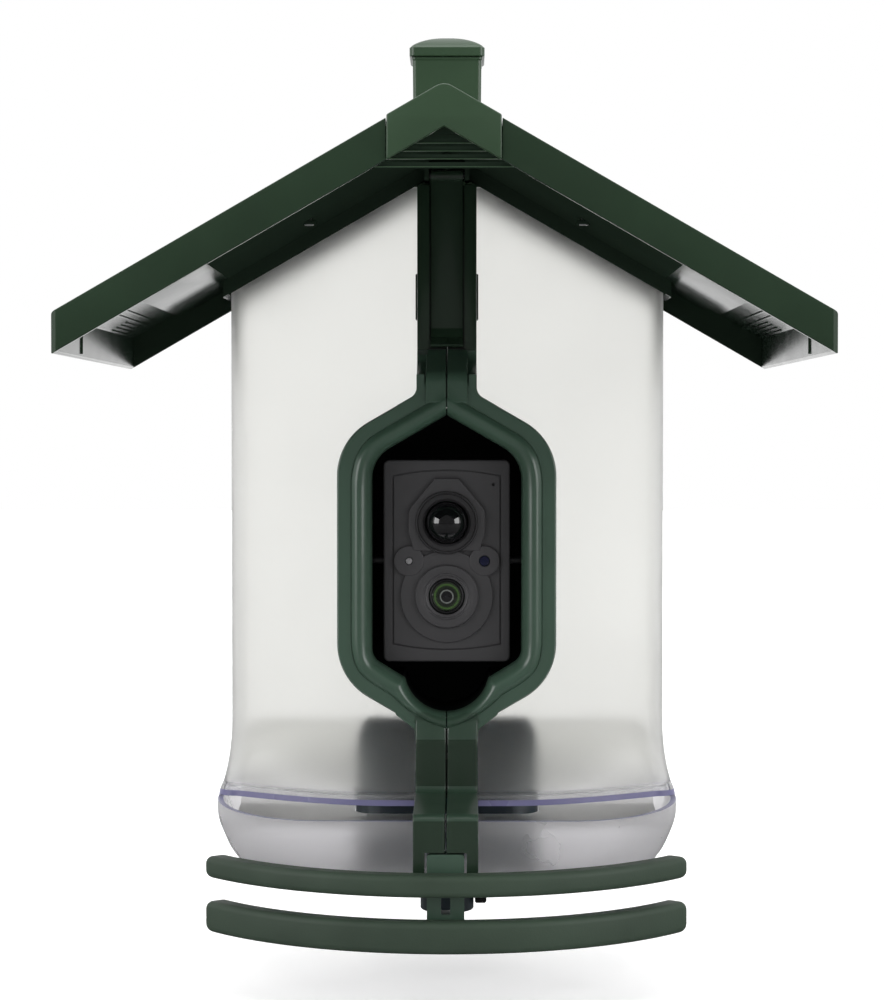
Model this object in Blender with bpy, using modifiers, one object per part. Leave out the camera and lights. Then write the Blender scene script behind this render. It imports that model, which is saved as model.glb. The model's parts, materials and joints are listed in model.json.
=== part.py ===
# Bird feeder with a lift-off roof, a frosted seed hopper, a tilting camera and two perches.
# Metres, +Z up, the front faces -Y. The origin is the mouth of the pole socket under the tray.
import math
import bpy
import bmesh
from mathutils import Matrix, Vector

# Clearances that several pieces share
gap = 0.0003
run_gap = 0.0005
over = 0.002
seam_half = 0.00015

# Roof
roof_half_width = 0.130
roof_front = -0.170
roof_depth = 0.200
roof_pitch = math.radians(30.0)
ridge_height = 0.3046
fascia_height = 0.0139
wing_wall = 0.0019
wing_edge = 0.0015
roof_travel = 0.080

# Ridge cap
cap_half_width = 0.019
cap_step = 0.0008
cap_proud = 0.001
cap_apex_half = 0.0045

# Gable louvre
louvre_half_width = 0.027
louvre_drop = 0.0274
louvre_bottom = ridge_height - louvre_drop
louvre_thickness = 0.0024
louvre_pitch = 0.0026
louvre_slot = 0.0015
louvre_slots = 4

# Silo lid under the roof
lid_half_width = 0.1095
lid_thickness = 0.0016
lid_front_margin = 0.009
lid_notch_width = 0.0047
lid_notch_length = 0.0160
skirt_half_width = 0.0883
skirt_wall = 0.0022
skirt_front = -0.0082
skirt_drop = 0.0104
skirt_apex = ridge_height - skirt_drop
skirt_slot_length = 0.017
skirt_slot_width = 0.0012
skirt_slot_ahead = 0.0085
ear_half_span = 0.0088
ear_wall = 0.0018
ear_drop = 0.0162
ear_bottom = ridge_height - ear_drop
ear_front = -0.0172
boss_radius = 0.0029
boss_length = 0.0040
boss_out = 0.052
boss_rows = (-0.120, -0.046)
screw_head_radius = 0.0021
screw_head_height = 0.0014
screw_shank_radius = 0.0011

# Chimney and its cap
chimney_half_base = 0.0133
chimney_half_top = 0.0139
chimney_centre = 0.011
chimney_rise = 0.0336
chimney_top = ridge_height + chimney_rise
chimney_wall = 0.0020
chimney_round = 0.0012
cap_lid_half = 0.01485
cap_lid_rim = 0.0040
cap_lid_dome = 0.0050
cap_lid_round = 0.0022
cap_plug_depth = 0.0050
cap_plug_wall = 0.0016
cap_travel = 0.012

# Roof tongue and its pin
tongue_half_width = 0.0064
tongue_pin_drop = 0.0140
tongue_pin_height = ridge_height - tongue_pin_drop
tongue_pin_back = -0.0140
tongue_pin_radius = 0.0012
tongue_barrel = 0.0025
tongue_thickness = 0.0020
tongue_clearance = 0.0008
tongue_lip_height = 0.0075
tongue_lip_reach = 0.0042

# Silo
silo_half_width = 0.0860
silo_front = -0.0050
silo_back = 0.0272
silo_corner = 0.0075
silo_wall = 0.0022
silo_top_drop = 0.0178
silo_flat_top = ridge_height - silo_top_drop
silo_side_drop = 0.0023
bulge_top = 0.0770
fold_height = 0.0510
silo_bottom = 0.0482
silo_bulge = 0.0270
flange_reach = 0.0090
silo_flare = 0.0044

# Tray
tray_half_width = 0.0904
tray_front = -0.0760
tray_rim = 0.0465
tray_bottom = 0.0150
tray_wall = 0.0022
tray_corner_reach = 0.0440
tray_corner_depth = 0.0690
tray_back_corner = 0.0080
tray_tuck = 0.0240

# Seed ramp inside the silo
ramp_half_width = 0.0820
ramp_corner = 0.0070
ramp_top = 0.0730
ramp_knee = 0.0430
ramp_knee_back = -0.0030
ramp_front = -0.0360
ramp_front_height = 0.0400
ramp_thickness = 0.0018

# Pole socket housing
dome_half_width = 0.0360
dome_front = -0.0220
dome_back = 0.0170
dome_corner = 0.0140
dome_top = 0.0760
dome_lean_bottom = 0.0440
dome_lean = 0.0215
dome_round = 0.0130
dome_wall = 0.0024
flange_margin = 0.0070
flange_back_margin = 0.0024
flange_thickness = 0.0020
tube_radius = 0.0106
tube_bore = 0.0082
tube_bore_depth = 0.0500
tube_top = 0.0530
tube_rib = 0.0024
base_screw_length = 0.0035

# Clamp screw in the side of the socket tube
clamp_height = 0.0062
clamp_shank_radius = 0.0020
clamp_knob_radius = 0.0040
clamp_knob_length = 0.0046

# Heights that follow the camera's centre
camera_height = 0.1400
ring_apex_rise = 0.0715
ring_low_corner_drop = 0.0454
ring_step_drop = 0.0574
opening_apex_rise = 0.0567
opening_low_corner_drop = 0.0375
lobe_drop = 0.0420
pocket_apex_rise = 0.0575
pocket_shoulder_rise = 0.0455
pocket_foot_drop = 0.0450
pir_rise = 0.0150
lens_drop = 0.0138
bezel_rise = 0.0322
bezel_shoulder_rise = 0.0210
knuckle_bury = 0.0005
knuckle_height = 0.0114

# Front frame: column, camera ring, arm and leg
ring_apex = camera_height + ring_apex_rise
column_half_width = 0.0116
column_front = -0.0170
column_top = silo_flat_top
channel_half_width = 0.0069
channel_depth = 0.0056
channel_floor = 0.0002
knuckle_bottom = ring_apex - knuckle_bury
knuckle_top = knuckle_bottom + knuckle_height
channel_bottom = knuckle_top + channel_floor
tongue_bottom = knuckle_top + tongue_clearance
knuckle_front = -0.0240
pad_proud = 0.0007
pad_bottom = 0.2340
pad_top = 0.2520
ring_front = -0.0320
ring_back = -0.0220
ring_skirt = 0.0030
ring_bead = 0.0016
ring_half_width = 0.04235
ring_corner = 0.0240
ring_low_corner = camera_height - ring_low_corner_drop
ring_step_height = camera_height - ring_step_drop
ring_step_half = 0.0216
opening_half_width = 0.0290
opening_apex = camera_height + opening_apex_rise
opening_corner = 0.0140
opening_low_corner = camera_height - opening_low_corner_drop
opening_low_round = 0.0060
lobe_radius = 0.0165
lobe_height = camera_height - lobe_drop
lower_front = -0.0350
lower_half_width = 0.0119
lower_back = -0.0120
lower_back_foot = -0.0240
lower_bend_top = 0.0720
lower_bend_foot = 0.0540
column_foot = 0.0440
arm_top = 0.0514
arm_bottom = 0.0470
arm_front = -0.0930
leg_thickness = 0.0160
leg_bottom = 0.0232
notch_half_width = 0.0077
notch_top = 0.0376
frame_screw_radius = 0.0014
frame_screw_head = 0.0026
frame_screw_length = 0.0150
frame_screw_upper_height = 0.2430
frame_screw_upper_back = -0.0083
frame_screw_lower_height = 0.0640
frame_screw_lower_back = -0.0235

# Camera pocket behind the ring
pocket_back = 0.0200
pocket_wall = 0.0020
pocket_half_width = 0.0290
pocket_apex = camera_height + pocket_apex_rise
pocket_shoulder = camera_height + pocket_shoulder_rise
pocket_shoulder_round = 0.0080
pocket_foot = camera_height - pocket_foot_drop
pocket_foot_round = 0.0050

# Camera
camera_half_width = 0.02465
camera_half_height = 0.0393
camera_front = -0.0220
camera_back = 0.0100
camera_round = 0.0022
case_wall = 0.0020
case_split = -0.0120
gasket_thickness = 0.0006
gasket_width = 0.0016
pivot_back = -0.0155
pivot_radius = 0.0014
pivot_length = 0.0072
tilt_limit = 8.0
pir_height = camera_height + pir_rise
pir_radius = 0.0081
pir_ring_radius = 0.0122
pir_ring_height = 0.0012
pir_sensor_radius = 0.0044
bezel_height = 0.0016
bezel_top = camera_height + bezel_rise
bezel_top_half = 0.0053
bezel_shoulder_half = 0.0141
bezel_shoulder = camera_height + bezel_shoulder_rise
lens_height = camera_height - lens_drop
lens_disc_radius = 0.0183
lens_disc_height = 0.0010
lens_ring_radius = 0.0124
lens_ring_height = 0.0012
lens_barrel_radius = 0.0068
lens_glass_radius = 0.0057
lens_glass_crown = 0.0012
lens_glass_thickness = 0.0016
window_out = 0.0146
window_disc_radius = 0.0056
window_disc_height = 0.0013
light_window_radius = 0.0012
status_window_radius = 0.0019
window_depth = 0.0026
board_half_width = 0.0210
board_half_height = 0.0350
board_thickness = 0.0016
board_front = -0.0142
cell_radius = 0.0092
cell_length = 0.0650
cell_spacing = 0.0002
post_size = 0.0040
case_screw_length = 0.0060
button_radius = 0.0028
button_out = 0.0145
button_proud = 0.0012
button_travel = 0.0006
port_half_width = 0.0045
port_half_depth = 0.0016
port_length = 0.0060
port_back = 0.0
cover_half_width = 0.0068
cover_depth = 0.0090
cover_thickness = 0.0012

# Perches
perch_radius = 0.1160
perch_front = -0.1030
perch_depth = 0.0090
perch_half_chord = 0.0910
perch_edge = 0.0014
perch_upper_top = 0.0309
perch_upper_height = 0.0082
perch_lower_top = 0.0140
perch_lower_height = 0.0117
post_half_width = 0.0068
post_back = -0.0840
post_top = 0.0370
post_bottom = 0.0030
post_slot_half = 0.0017
post_slot_margin = 0.0012
perch_travel = 0.020

# How finely round shapes are divided
round_sides = 20
small_sides = 12
corner_steps = 4
perch_steps = 18

slope = math.tan(roof_pitch)
roof_back = roof_front + roof_depth
panel_drop = wing_wall / math.cos(roof_pitch)
lid_drop = panel_drop + gap
lid_under = lid_drop + lid_thickness / math.cos(roof_pitch)


def roof_line(x, drop=0.0):
    return ridge_height - slope * abs(x) - drop


def ridge_points(reach, drop=0.0):
    """The roof's section from -x to +x at a depth under its top, with the cap's blunt ridge."""
    blunt = roof_line(cap_apex_half, drop)
    return [(-reach, roof_line(reach, drop)), (-cap_apex_half, blunt),
            (0.0, blunt + slope * cap_apex_half / 2.0), (cap_apex_half, blunt), (reach, roof_line(reach, drop))]


# Scene helpers

def clear_scene():
    for thing in list(bpy.data.objects):
        bpy.data.objects.remove(thing, do_unlink=True)


def new_collection(name):
    group = bpy.data.collections.new(name)
    bpy.context.scene.collection.children.link(group)
    return group


def finish_material(name, colour, roughness, metallic=0.0, alpha=1.0):
    material = bpy.data.materials.new(name)
    material.use_nodes = True
    shader = material.node_tree.nodes["Principled BSDF"]
    shader.inputs["Base Color"].default_value = (*colour, 1.0)
    shader.inputs["Roughness"].default_value = roughness
    shader.inputs["Metallic"].default_value = metallic
    shader.inputs["Alpha"].default_value = alpha
    return material


def place(mesh, name, material=None):
    thing = bpy.data.objects.new(name, mesh)
    (parts if material else cutters).objects.link(thing)
    if material:
        thing.data.materials.append(material)
    else:
        thing.hide_render = True
        thing.display_type = "WIRE"
    return thing


def mesh_from(work, name, smooth=True):
    bmesh.ops.recalc_face_normals(work, faces=work.faces)
    mesh = bpy.data.meshes.new(name)
    work.to_mesh(mesh)
    work.free()
    if smooth:
        mesh.shade_smooth()
        mesh.set_sharp_from_angle(angle=math.radians(32.0))
    return mesh


def box(name, low, high, material=None):
    work = bmesh.new()
    bmesh.ops.create_cube(work, size=1.0)
    low, high = Vector(low), Vector(high)
    centre, size = (low + high) / 2.0, high - low
    for vert in work.verts:
        vert.co = centre + Vector(a * b for a, b in zip(vert.co, size))
    return place(mesh_from(work, name, smooth=False), name, material)


def rod(name, radius, start, end, material=None, sides=None, radius_end=None):
    start, end = Vector(start), Vector(end)
    run = end - start
    work = bmesh.new()
    bmesh.ops.create_cone(
        work, cap_ends=True, segments=sides or round_sides,
        radius1=radius, radius2=radius if radius_end is None else radius_end, depth=run.length)
    turn = Vector((0.0, 0.0, 1.0)).rotation_difference(run.normalized()).to_matrix().to_4x4()
    bmesh.ops.transform(work, matrix=Matrix.Translation((start + end) / 2.0) @ turn, verts=work.verts)
    return place(mesh_from(work, name), name, material)


# Local x and y of a flat outline go to these world axes, and its thickness to the third
planes = {
    "XZ": Matrix(((1, 0, 0, 0), (0, 0, -1, 0), (0, 1, 0, 0), (0, 0, 0, 1))),
    "YZ": Matrix(((0, 0, 1, 0), (1, 0, 0, 0), (0, 1, 0, 0), (0, 0, 0, 1))),
    "XY": Matrix.Identity(4),
}
normals = {"XZ": Vector((0, -1, 0)), "YZ": Vector((1, 0, 0)), "XY": Vector((0, 0, 1))}


def outline_solid(name, outlines, plane, low, high, material=None):
    """A flat outline, with any holes, as a 2D curve with thickness, made a closed mesh."""
    curve = bpy.data.curves.new(name, "CURVE")
    curve.dimensions = "2D"
    curve.fill_mode = "BOTH"
    curve.extrude = (high - low) / 2.0
    for outline in outlines:
        spline = curve.splines.new("POLY")
        spline.points.add(len(outline) - 1)
        spline.use_cyclic_u = True
        for point, (a, b) in zip(spline.points, outline):
            point.co = (a, b, 0.0, 1.0)
    guide = bpy.data.objects.new(name + "_curve", curve)
    cutters.objects.link(guide)
    bpy.context.view_layer.update()
    seen = guide.evaluated_get(bpy.context.evaluated_depsgraph_get())
    mesh = bpy.data.meshes.new_from_object(seen)
    bpy.data.objects.remove(guide, do_unlink=True)
    work = bmesh.new()
    work.from_mesh(mesh)
    bpy.data.meshes.remove(mesh)
    bmesh.ops.remove_doubles(work, verts=work.verts, dist=gap / 100.0)
    middle = (low + high) / 2.0
    shift = Vector((0, middle, 0)) if plane == "XZ" else normals[plane] * middle
    bmesh.ops.transform(work, matrix=Matrix.Translation(shift) @ planes[plane], verts=work.verts)
    return place(mesh_from(work, name), name, material)


def turned(name, profile, centre, axis, material=None, sides=None):
    """A profile of (radius, height) run top to bottom, turned round an axis by a Screw modifier."""
    work = bmesh.new()
    verts = [work.verts.new((radius, 0.0, height)) for radius, height in profile]
    for a, b in zip(verts, verts[1:]):
        work.edges.new((a, b))
    if profile[0][0] > 0.0 or profile[-1][0] > 0.0:
        work.edges.new((verts[-1], verts[0]))
    mesh = bpy.data.meshes.new(name)
    work.to_mesh(mesh)
    work.free()
    thing = place(mesh, name, material)
    screw = thing.modifiers.new("turn", "SCREW")
    screw.steps = screw.render_steps = sides or round_sides
    screw.use_merge_vertices = True
    screw.merge_threshold = gap / 100.0
    screw.use_smooth_shade = True
    thing.location = centre
    thing.rotation_mode = "QUATERNION"
    thing.rotation_quaternion = Vector((0.0, 0.0, 1.0)).rotation_difference(Vector(axis))
    return thing


def loft(name, rings, material=None, cap_start=True, cap_end=True, closed=True):
    """Quads between rings of the same number of points, with a face over each capped end."""
    work = bmesh.new()
    rows = [[work.verts.new(point) for point in ring] for ring in rings]
    count = len(rows[0])
    for row, following in zip(rows, rows[1:]):
        for i in range(count if closed else count - 1):
            j = (i + 1) % count
            work.faces.new((row[i], row[j], following[j], following[i]))
    if cap_start:
        work.faces.new(rows[0])
    if cap_end:
        work.faces.new(rows[-1])
    return place(mesh_from(work, name), name, material)


def cut(thing, *tools):
    for tool in tools:
        step = thing.modifiers.new("cut_" + tool.name, "BOOLEAN")
        step.operation = "DIFFERENCE"
        step.solver = "EXACT"
        step.object = tool


def join(thing, *tools):
    for tool in tools:
        step = thing.modifiers.new("join_" + tool.name, "BOOLEAN")
        step.operation = "UNION"
        step.solver = "EXACT"
        step.object = tool


def soften(thing, width, segments=1, angle=40.0):
    step = thing.modifiers.new("edge", "BEVEL")
    step.width = width
    step.segments = segments
    step.limit_method = "ANGLE"
    step.angle_limit = math.radians(angle)
    step.use_clamp_overlap = True
    step.harden_normals = False


def own_origin(thing, point):
    """Moves the object's origin to a joint's axis without moving its shape."""
    point = Vector(point)
    thing.data.transform(Matrix.Translation(-point))
    thing.location = thing.location + point


# Outline helpers

def arc(centre, radius, start, end, steps):
    turns = [start + (end - start) * i / steps for i in range(steps + 1)]
    return [(centre[0] + radius * math.cos(t), centre[1] + radius * math.sin(t)) for t in turns]


def round_corners(corners, steps=None):
    """Corners given as (x, y, radius) become a list of points with an arc at each radius."""
    steps = steps or corner_steps
    points = []
    count = len(corners)
    for i, (x, y, radius) in enumerate(corners):
        here = Vector((x, y))
        if radius <= 0.0:
            points.append((x, y))
            continue
        before = (Vector(corners[i - 1][:2]) - here).normalized()
        after = (Vector(corners[(i + 1) % count][:2]) - here).normalized()
        half = before.angle(after) / 2.0
        back = radius / math.tan(half)
        middle = here + (before + after).normalized() * (radius / math.sin(half))
        first, last = here + before * back, here + after * back
        turn = math.atan2((first - middle).cross(last - middle), (first - middle).dot(last - middle))
        angle = math.atan2(first.y - middle.y, first.x - middle.x)
        points += arc(middle, radius, angle, angle + turn, steps)
    return points


def round_box(half_x, half_y, radius, centre=(0.0, 0.0), steps=None):
    x, y = centre
    return round_corners([
        (x + half_x, y + half_y, radius), (x - half_x, y + half_y, radius),
        (x - half_x, y - half_y, radius), (x + half_x, y - half_y, radius)], steps)


def mirrored(half):
    """A half outline on +x, from top to bottom, joined to its mirror."""
    other = [(-x, y) for x, y in reversed(half) if x > 0.0]
    return half + other


# Roof

def make_wing(side, material):
    name = "roof_wing_right" if side > 0 else "roof_wing_left"
    inner = cap_half_width + gap
    work = bmesh.new()
    bmesh.ops.create_cube(work, size=1.0)
    for vert in work.verts:
        x = roof_half_width if vert.co.x > 0 else inner
        y = roof_back if vert.co.y > 0 else roof_front
        drop = 0.0 if vert.co.z > 0 else fascia_height
        vert.co = Vector((x, y, roof_line(x, drop)))
    bmesh.ops.recalc_face_normals(work, faces=work.faces)
    open_faces = [face for face in work.faces
                  if face.normal.z < -seam_half or abs(face.calc_center_median().x - inner) < gap]
    bmesh.ops.delete(work, geom=open_faces, context="FACES")
    if side < 0:
        bmesh.ops.scale(work, vec=(-1.0, 1.0, 1.0), verts=work.verts)
        bmesh.ops.reverse_faces(work, faces=work.faces)
    mesh = bpy.data.meshes.new(name)
    work.to_mesh(mesh)
    work.free()
    wing = place(mesh, name, material)
    soften(wing, wing_edge, 2)
    shell = wing.modifiers.new("wall", "SOLIDIFY")
    shell.thickness = wing_wall
    shell.offset = -1.0
    shell.use_even_offset = True
    near, far = sorted((0.0, side * inner))
    cut(wing, box(name + "_end", (near, roof_front - over, roof_line(inner, fascia_height + over)),
                  (far, roof_back + over, ridge_height)))
    return wing


def make_ridge_cap(material):
    height = fascia_height + cap_step

    def chevron(half, low_drop, high_drop):
        return [(half, roof_line(half, low_drop)), (0.0, roof_line(0.0, low_drop)),
                (-half, roof_line(half, low_drop))] + ridge_points(half, high_drop)

    cap = outline_solid("ridge_cap", [chevron(cap_half_width, height - cap_step, -cap_step)],
                        "XZ", roof_front - cap_proud, roof_back + cap_proud, material)
    room = outline_solid("ridge_cap_room", [chevron(cap_half_width + over, height + over, panel_drop)],
                         "XZ", roof_front + wing_wall, roof_back - wing_wall)
    cut(cap, room)
    return cap


def make_louvre(material):
    front = roof_front + wing_wall + gap
    foot = [(louvre_half_width, louvre_bottom), (-louvre_half_width, louvre_bottom)]
    outline = ridge_points(louvre_half_width, panel_drop + gap) + foot
    board = outline_solid("gable_louvre", [outline], "XZ", front, front + louvre_thickness, material)
    for i in range(louvre_slots):
        middle = louvre_bottom + louvre_pitch * (i + 1)
        half = min((ridge_height - panel_drop - middle) / slope, louvre_half_width + louvre_pitch)
        half -= louvre_pitch * 2.0
        slot = box("louvre_slot_%d" % i,
                   (-half, front - over, middle - louvre_slot / 2.0),
                   (half, front + louvre_thickness + over, middle + louvre_slot / 2.0))
        cut(board, slot)
    return board


def make_lid(material):
    back = roof_back - wing_wall - gap
    front = roof_front + lid_front_margin
    half = lid_half_width

    def band(reach, high, low):
        return [(reach, roof_line(reach, low)), (0.0, roof_line(0.0, low)),
                (-reach, roof_line(reach, low))] + ridge_points(reach, high)

    lid = outline_solid("silo_lid", [band(half, lid_drop, lid_under)], "XZ", front, back, material)
    skirt_drop = ridge_height - skirt_apex
    sunk = lid_under - lid_thickness / 2.0
    board = outline_solid("lid_front_skirt", [band(skirt_half_width, sunk, skirt_drop)], "XZ",
                          skirt_front, skirt_front + skirt_wall)
    join(lid, board)
    for side in (-1, 1):
        outer = side * skirt_half_width
        inner = side * (skirt_half_width - skirt_wall)
        join(lid, outline_solid(
            "lid_side_skirt_%d" % side,
            [[(inner, roof_line(inner, skirt_drop)), (outer, roof_line(outer, skirt_drop)),
              (outer, roof_line(outer, sunk)), (inner, roof_line(inner, sunk))]],
            "XZ", skirt_front + skirt_wall / 2.0, back))
        ear = side * ear_half_span
        near = side * (ear_half_span - ear_wall)
        join(lid, box("lid_ear_%d" % side,
                      (min(ear, near), ear_front, ear_bottom),
                      (max(ear, near), skirt_front + skirt_wall / 2.0, roof_line(ear_half_span, sunk))))
        notch = side * (half - lid_notch_width)
        cut(lid, box("lid_notch_%d" % side,
                     (min(notch, side * (half + over)), back - lid_notch_length, roof_line(half, lid_under + over)),
                     (max(notch, side * (half + over)), back + over, roof_line(half - lid_notch_width, -over))))
        slot_in = skirt_half_width + run_gap
        slot_out = slot_in + skirt_slot_length
        slot_y = skirt_front - skirt_slot_ahead
        cut(lid, box("lid_slot_%d" % side,
                     (min(side * slot_in, side * slot_out), slot_y, roof_line(slot_out, lid_under + over)),
                     (max(side * slot_in, side * slot_out), slot_y + skirt_slot_width, roof_line(slot_in, 0.0))))
        for row, y in enumerate(boss_rows):
            top = roof_line(boss_out + boss_radius, lid_drop + gap)
            foot = roof_line(boss_out, lid_under) - boss_length
            join(lid, rod("lid_boss_%d_%d" % (side, row), boss_radius, (side * boss_out, y, foot),
                          (side * boss_out, y, top), sides=small_sides))
    for side in (-1, 1):
        for row, y in enumerate(boss_rows):
            foot = roof_line(boss_out, lid_under) - boss_length
            seat = foot + screw_head_height
            cut(lid, rod("lid_counterbore_%d_%d" % (side, row), screw_head_radius + gap,
                         (side * boss_out, y, foot - over), (side * boss_out, y, seat), sides=small_sides),
                rod("lid_bore_%d_%d" % (side, row), screw_shank_radius + gap,
                    (side * boss_out, y, foot), (side * boss_out, y, roof_line(boss_out, 0.0)),
                    sides=small_sides))
    pin_hole = rod("lid_pin_hole", tongue_pin_radius + gap,
                   (-ear_half_span - over, tongue_pin_back, tongue_pin_height),
                   (ear_half_span + over, tongue_pin_back, tongue_pin_height), sides=small_sides)
    cut(lid, pin_hole)
    return lid


def make_screw(name, head_base, direction, head_radius, head_height, shank_radius, length, material):
    """A pan head screw: head_base is where the head seats, direction points along the shank."""
    return turned(name, [
        (0.0, length), (shank_radius, length), (shank_radius, 0.0), (head_radius, 0.0),
        (head_radius, -head_height * 0.6), (head_radius * 0.7, -head_height), (0.0, -head_height)],
        head_base, direction, material, small_sides)


def make_roof_screws(material):
    number = 1
    for side in (-1, 1):
        for y in boss_rows:
            seat = roof_line(boss_out, lid_under) - boss_length + screw_head_height - gap
            length = roof_line(boss_out, panel_drop + gap) - seat - slope * screw_shank_radius
            make_screw("roof_screw_%d" % number, (side * boss_out, y, seat), (0, 0, 1), screw_head_radius,
                       screw_head_height, screw_shank_radius, length, material)
            number += 1


def make_chimney(material):
    low = roof_line(chimney_half_base, -cap_step) - over
    rings = []
    for half, z in ((chimney_half_base, low), (chimney_half_base, ridge_height), (chimney_half_top, chimney_top)):
        rings.append([(x, y, z) for x, y in round_box(half, half, chimney_round, (0.0, chimney_centre), 2)])
    chimney = loft("chimney", rings, material)
    bore = chimney_half_base - chimney_wall
    cut(chimney, outline_solid("chimney_bore", [round_box(bore, bore, chimney_round, (0.0, chimney_centre), 2)],
                               "XY", low - over, chimney_top + over))
    reach = chimney_half_top + over
    saddle = ridge_points(reach, -cap_step - gap) + [(reach, low - over), (-reach, low - over)]
    cut(chimney, outline_solid("chimney_saddle", [saddle], "XZ", chimney_centre - reach, chimney_centre + reach))
    return chimney


def make_chimney_cap(material):
    base = chimney_top + gap
    levels = ((cap_lid_half, base), (cap_lid_half, base + cap_lid_rim),
              (cap_lid_half - cap_lid_dome * 0.6, base + cap_lid_rim + cap_lid_dome * 0.55),
              (cap_lid_half - cap_lid_dome * 1.4, base + cap_lid_rim + cap_lid_dome * 0.88),
              (cap_lid_half - cap_lid_dome * 2.4, base + cap_lid_rim + cap_lid_dome))
    rings = [[(x, y, z) for x, y in round_box(half, half, min(cap_lid_round, half * 0.5),
                                              (0.0, chimney_centre), 2)] for half, z in levels]
    cap = loft("chimney_cap", rings, material)
    plug = chimney_half_base - chimney_wall - gap
    hollow = plug - cap_plug_wall
    ring = [round_box(plug, plug, chimney_round, (0.0, chimney_centre), 2),
            round_box(hollow, hollow, chimney_round / 2.0, (0.0, chimney_centre), 2)]
    join(cap, outline_solid("chimney_cap_plug", ring, "XY", base - cap_plug_depth, base + cap_plug_wall))
    return cap


def make_tongue(material):
    back = tongue_pin_back + tongue_thickness / 2.0
    front = back - tongue_thickness
    lip_top = tongue_bottom + tongue_lip_height
    outline = [(back, tongue_pin_height), (front, tongue_pin_height), (front, lip_top),
               (front - tongue_lip_reach * 0.35, lip_top - tongue_lip_height * 0.45),
               (front - tongue_lip_reach, tongue_bottom + tongue_thickness * 0.5),
               (front - tongue_lip_reach * 0.8, tongue_bottom),
               (back - tongue_lip_reach * 0.4, lip_top - tongue_lip_height * 0.8), (back, lip_top)]
    tongue = outline_solid("roof_tongue", [outline], "YZ", -tongue_half_width, tongue_half_width, material)
    pin = (tongue_pin_back, tongue_pin_height)
    join(tongue, rod("tongue_barrel", tongue_barrel, (-tongue_half_width, *pin), (tongue_half_width, *pin),
                     sides=round_sides))
    cut(tongue, rod("tongue_bore", tongue_pin_radius + gap, (-tongue_half_width - over, *pin),
                    (tongue_half_width + over, *pin), sides=small_sides))
    own_origin(tongue, (0.0, *pin))
    return tongue


# Silo, tray and ramp

def bulge_at(x, half):
    """Share of the front bulge at x: none at the corner, full past a third of the way in."""
    inside = min(1.0, max(0.0, (half - abs(x)) / (half * 0.75)))
    return math.sin(math.pi / 2.0 * inside)


def silo_ring(half, front, bulge, height, extra=0.0):
    """One level of the silo, seen from above: bulged front, plain sides and back."""
    r = silo_corner
    inner = half - r
    kink = (silo_flat_top_line - silo_flat_top) / slope
    front_shares = (1.0, 0.9, 0.79, 0.67, 0.55, 0.42)
    xs = [inner * share for share in front_shares] + [kink, 0.0]
    xs = xs + [-x for x in reversed(xs[:-1])]
    quarter = math.pi / 2.0
    points = [(x, front - (bulge + extra) * bulge_at(x, inner)) for x in xs]
    points += arc((-inner, front + r), r, -quarter, -2.0 * quarter, corner_steps)[1:]
    points += arc((-inner, silo_back - r), r, 2.0 * quarter, quarter, corner_steps)
    points += [(-kink, silo_back), (0.0, silo_back), (kink, silo_back)]
    points += arc((inner, silo_back - r), r, quarter, 0.0, corner_steps)
    points += arc((inner, front + r), r, 0.0, -quarter, corner_steps)[:-1]
    if height is None:
        return [(x, y, min(silo_flat_top, silo_flat_top_line - slope * abs(x))) for x, y in points]
    return [(x, y, height) for x, y in points]


silo_flat_top_line = skirt_apex + silo_side_drop


def make_silo(material):
    tall = bulge_top - fold_height
    flare = silo_flare
    rings = [silo_ring(silo_half_width, silo_front, 0.0, None),
             silo_ring(silo_half_width, silo_front, 0.0, bulge_top)]
    bend_shares = ((0.25, 0.12, 0.0), (0.5, 0.42, 0.08), (0.75, 0.78, 0.2), (1.0, 1.0, 0.38))
    for down, out, wide in bend_shares:
        rings.append(silo_ring(silo_half_width + flare * wide, silo_front, silo_bulge * out,
                               bulge_top - tall * down))
    last = silo_ring(silo_half_width + flare, silo_front - flange_reach, silo_bulge, silo_bottom)
    rings.append(last)
    silo = loft("silo", rings, material, cap_start=False, cap_end=False)
    shell = silo.modifiers.new("wall", "SOLIDIFY")
    shell.thickness = silo_wall
    shell.offset = -1.0
    shell.use_even_offset = True
    reach = gap + pocket_wall
    hole = mirrored(pocket_outline(reach))
    wall_back = silo_front + silo_wall + over
    cut(silo, outline_solid("silo_pocket_hole", [hole], "XZ", silo_front - over, wall_back))
    slot = lower_half_width + gap
    cut(silo, box("silo_column_slot", (-slot, lower_front - silo_bulge, silo_bottom - over - silo_wall),
                  (slot, wall_back, ring_step_height)))
    rim = tray_half_width + over
    cut(silo, box("silo_rim_trim", (-rim, tray_front, tray_rim - over), (rim, silo_back + over, tray_rim + run_gap)))
    return silo


def tray_ring(inset, height):
    half = tray_half_width - inset
    front = tray_front + inset
    back = silo_back - inset * 0.3
    quarter = math.pi / 2.0
    reach = tray_corner_reach - inset * 0.5
    depth = tray_corner_depth - inset * 0.6
    points = []
    for i in range(9):
        t = -quarter - quarter * i / 8.0
        points.append((-half + reach + reach * math.cos(t), front + depth + depth * math.sin(t)))
    r = tray_back_corner
    points += arc((-half + r, back - r), r, 2.0 * quarter, quarter, corner_steps)
    points += arc((half - r, back - r), r, quarter, 0.0, corner_steps)
    for i in range(9):
        t = -quarter * i / 8.0
        points.append((half - reach + reach * math.cos(t), front + depth + depth * math.sin(t)))
    return [(x, y, height) for x, y in points]


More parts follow.
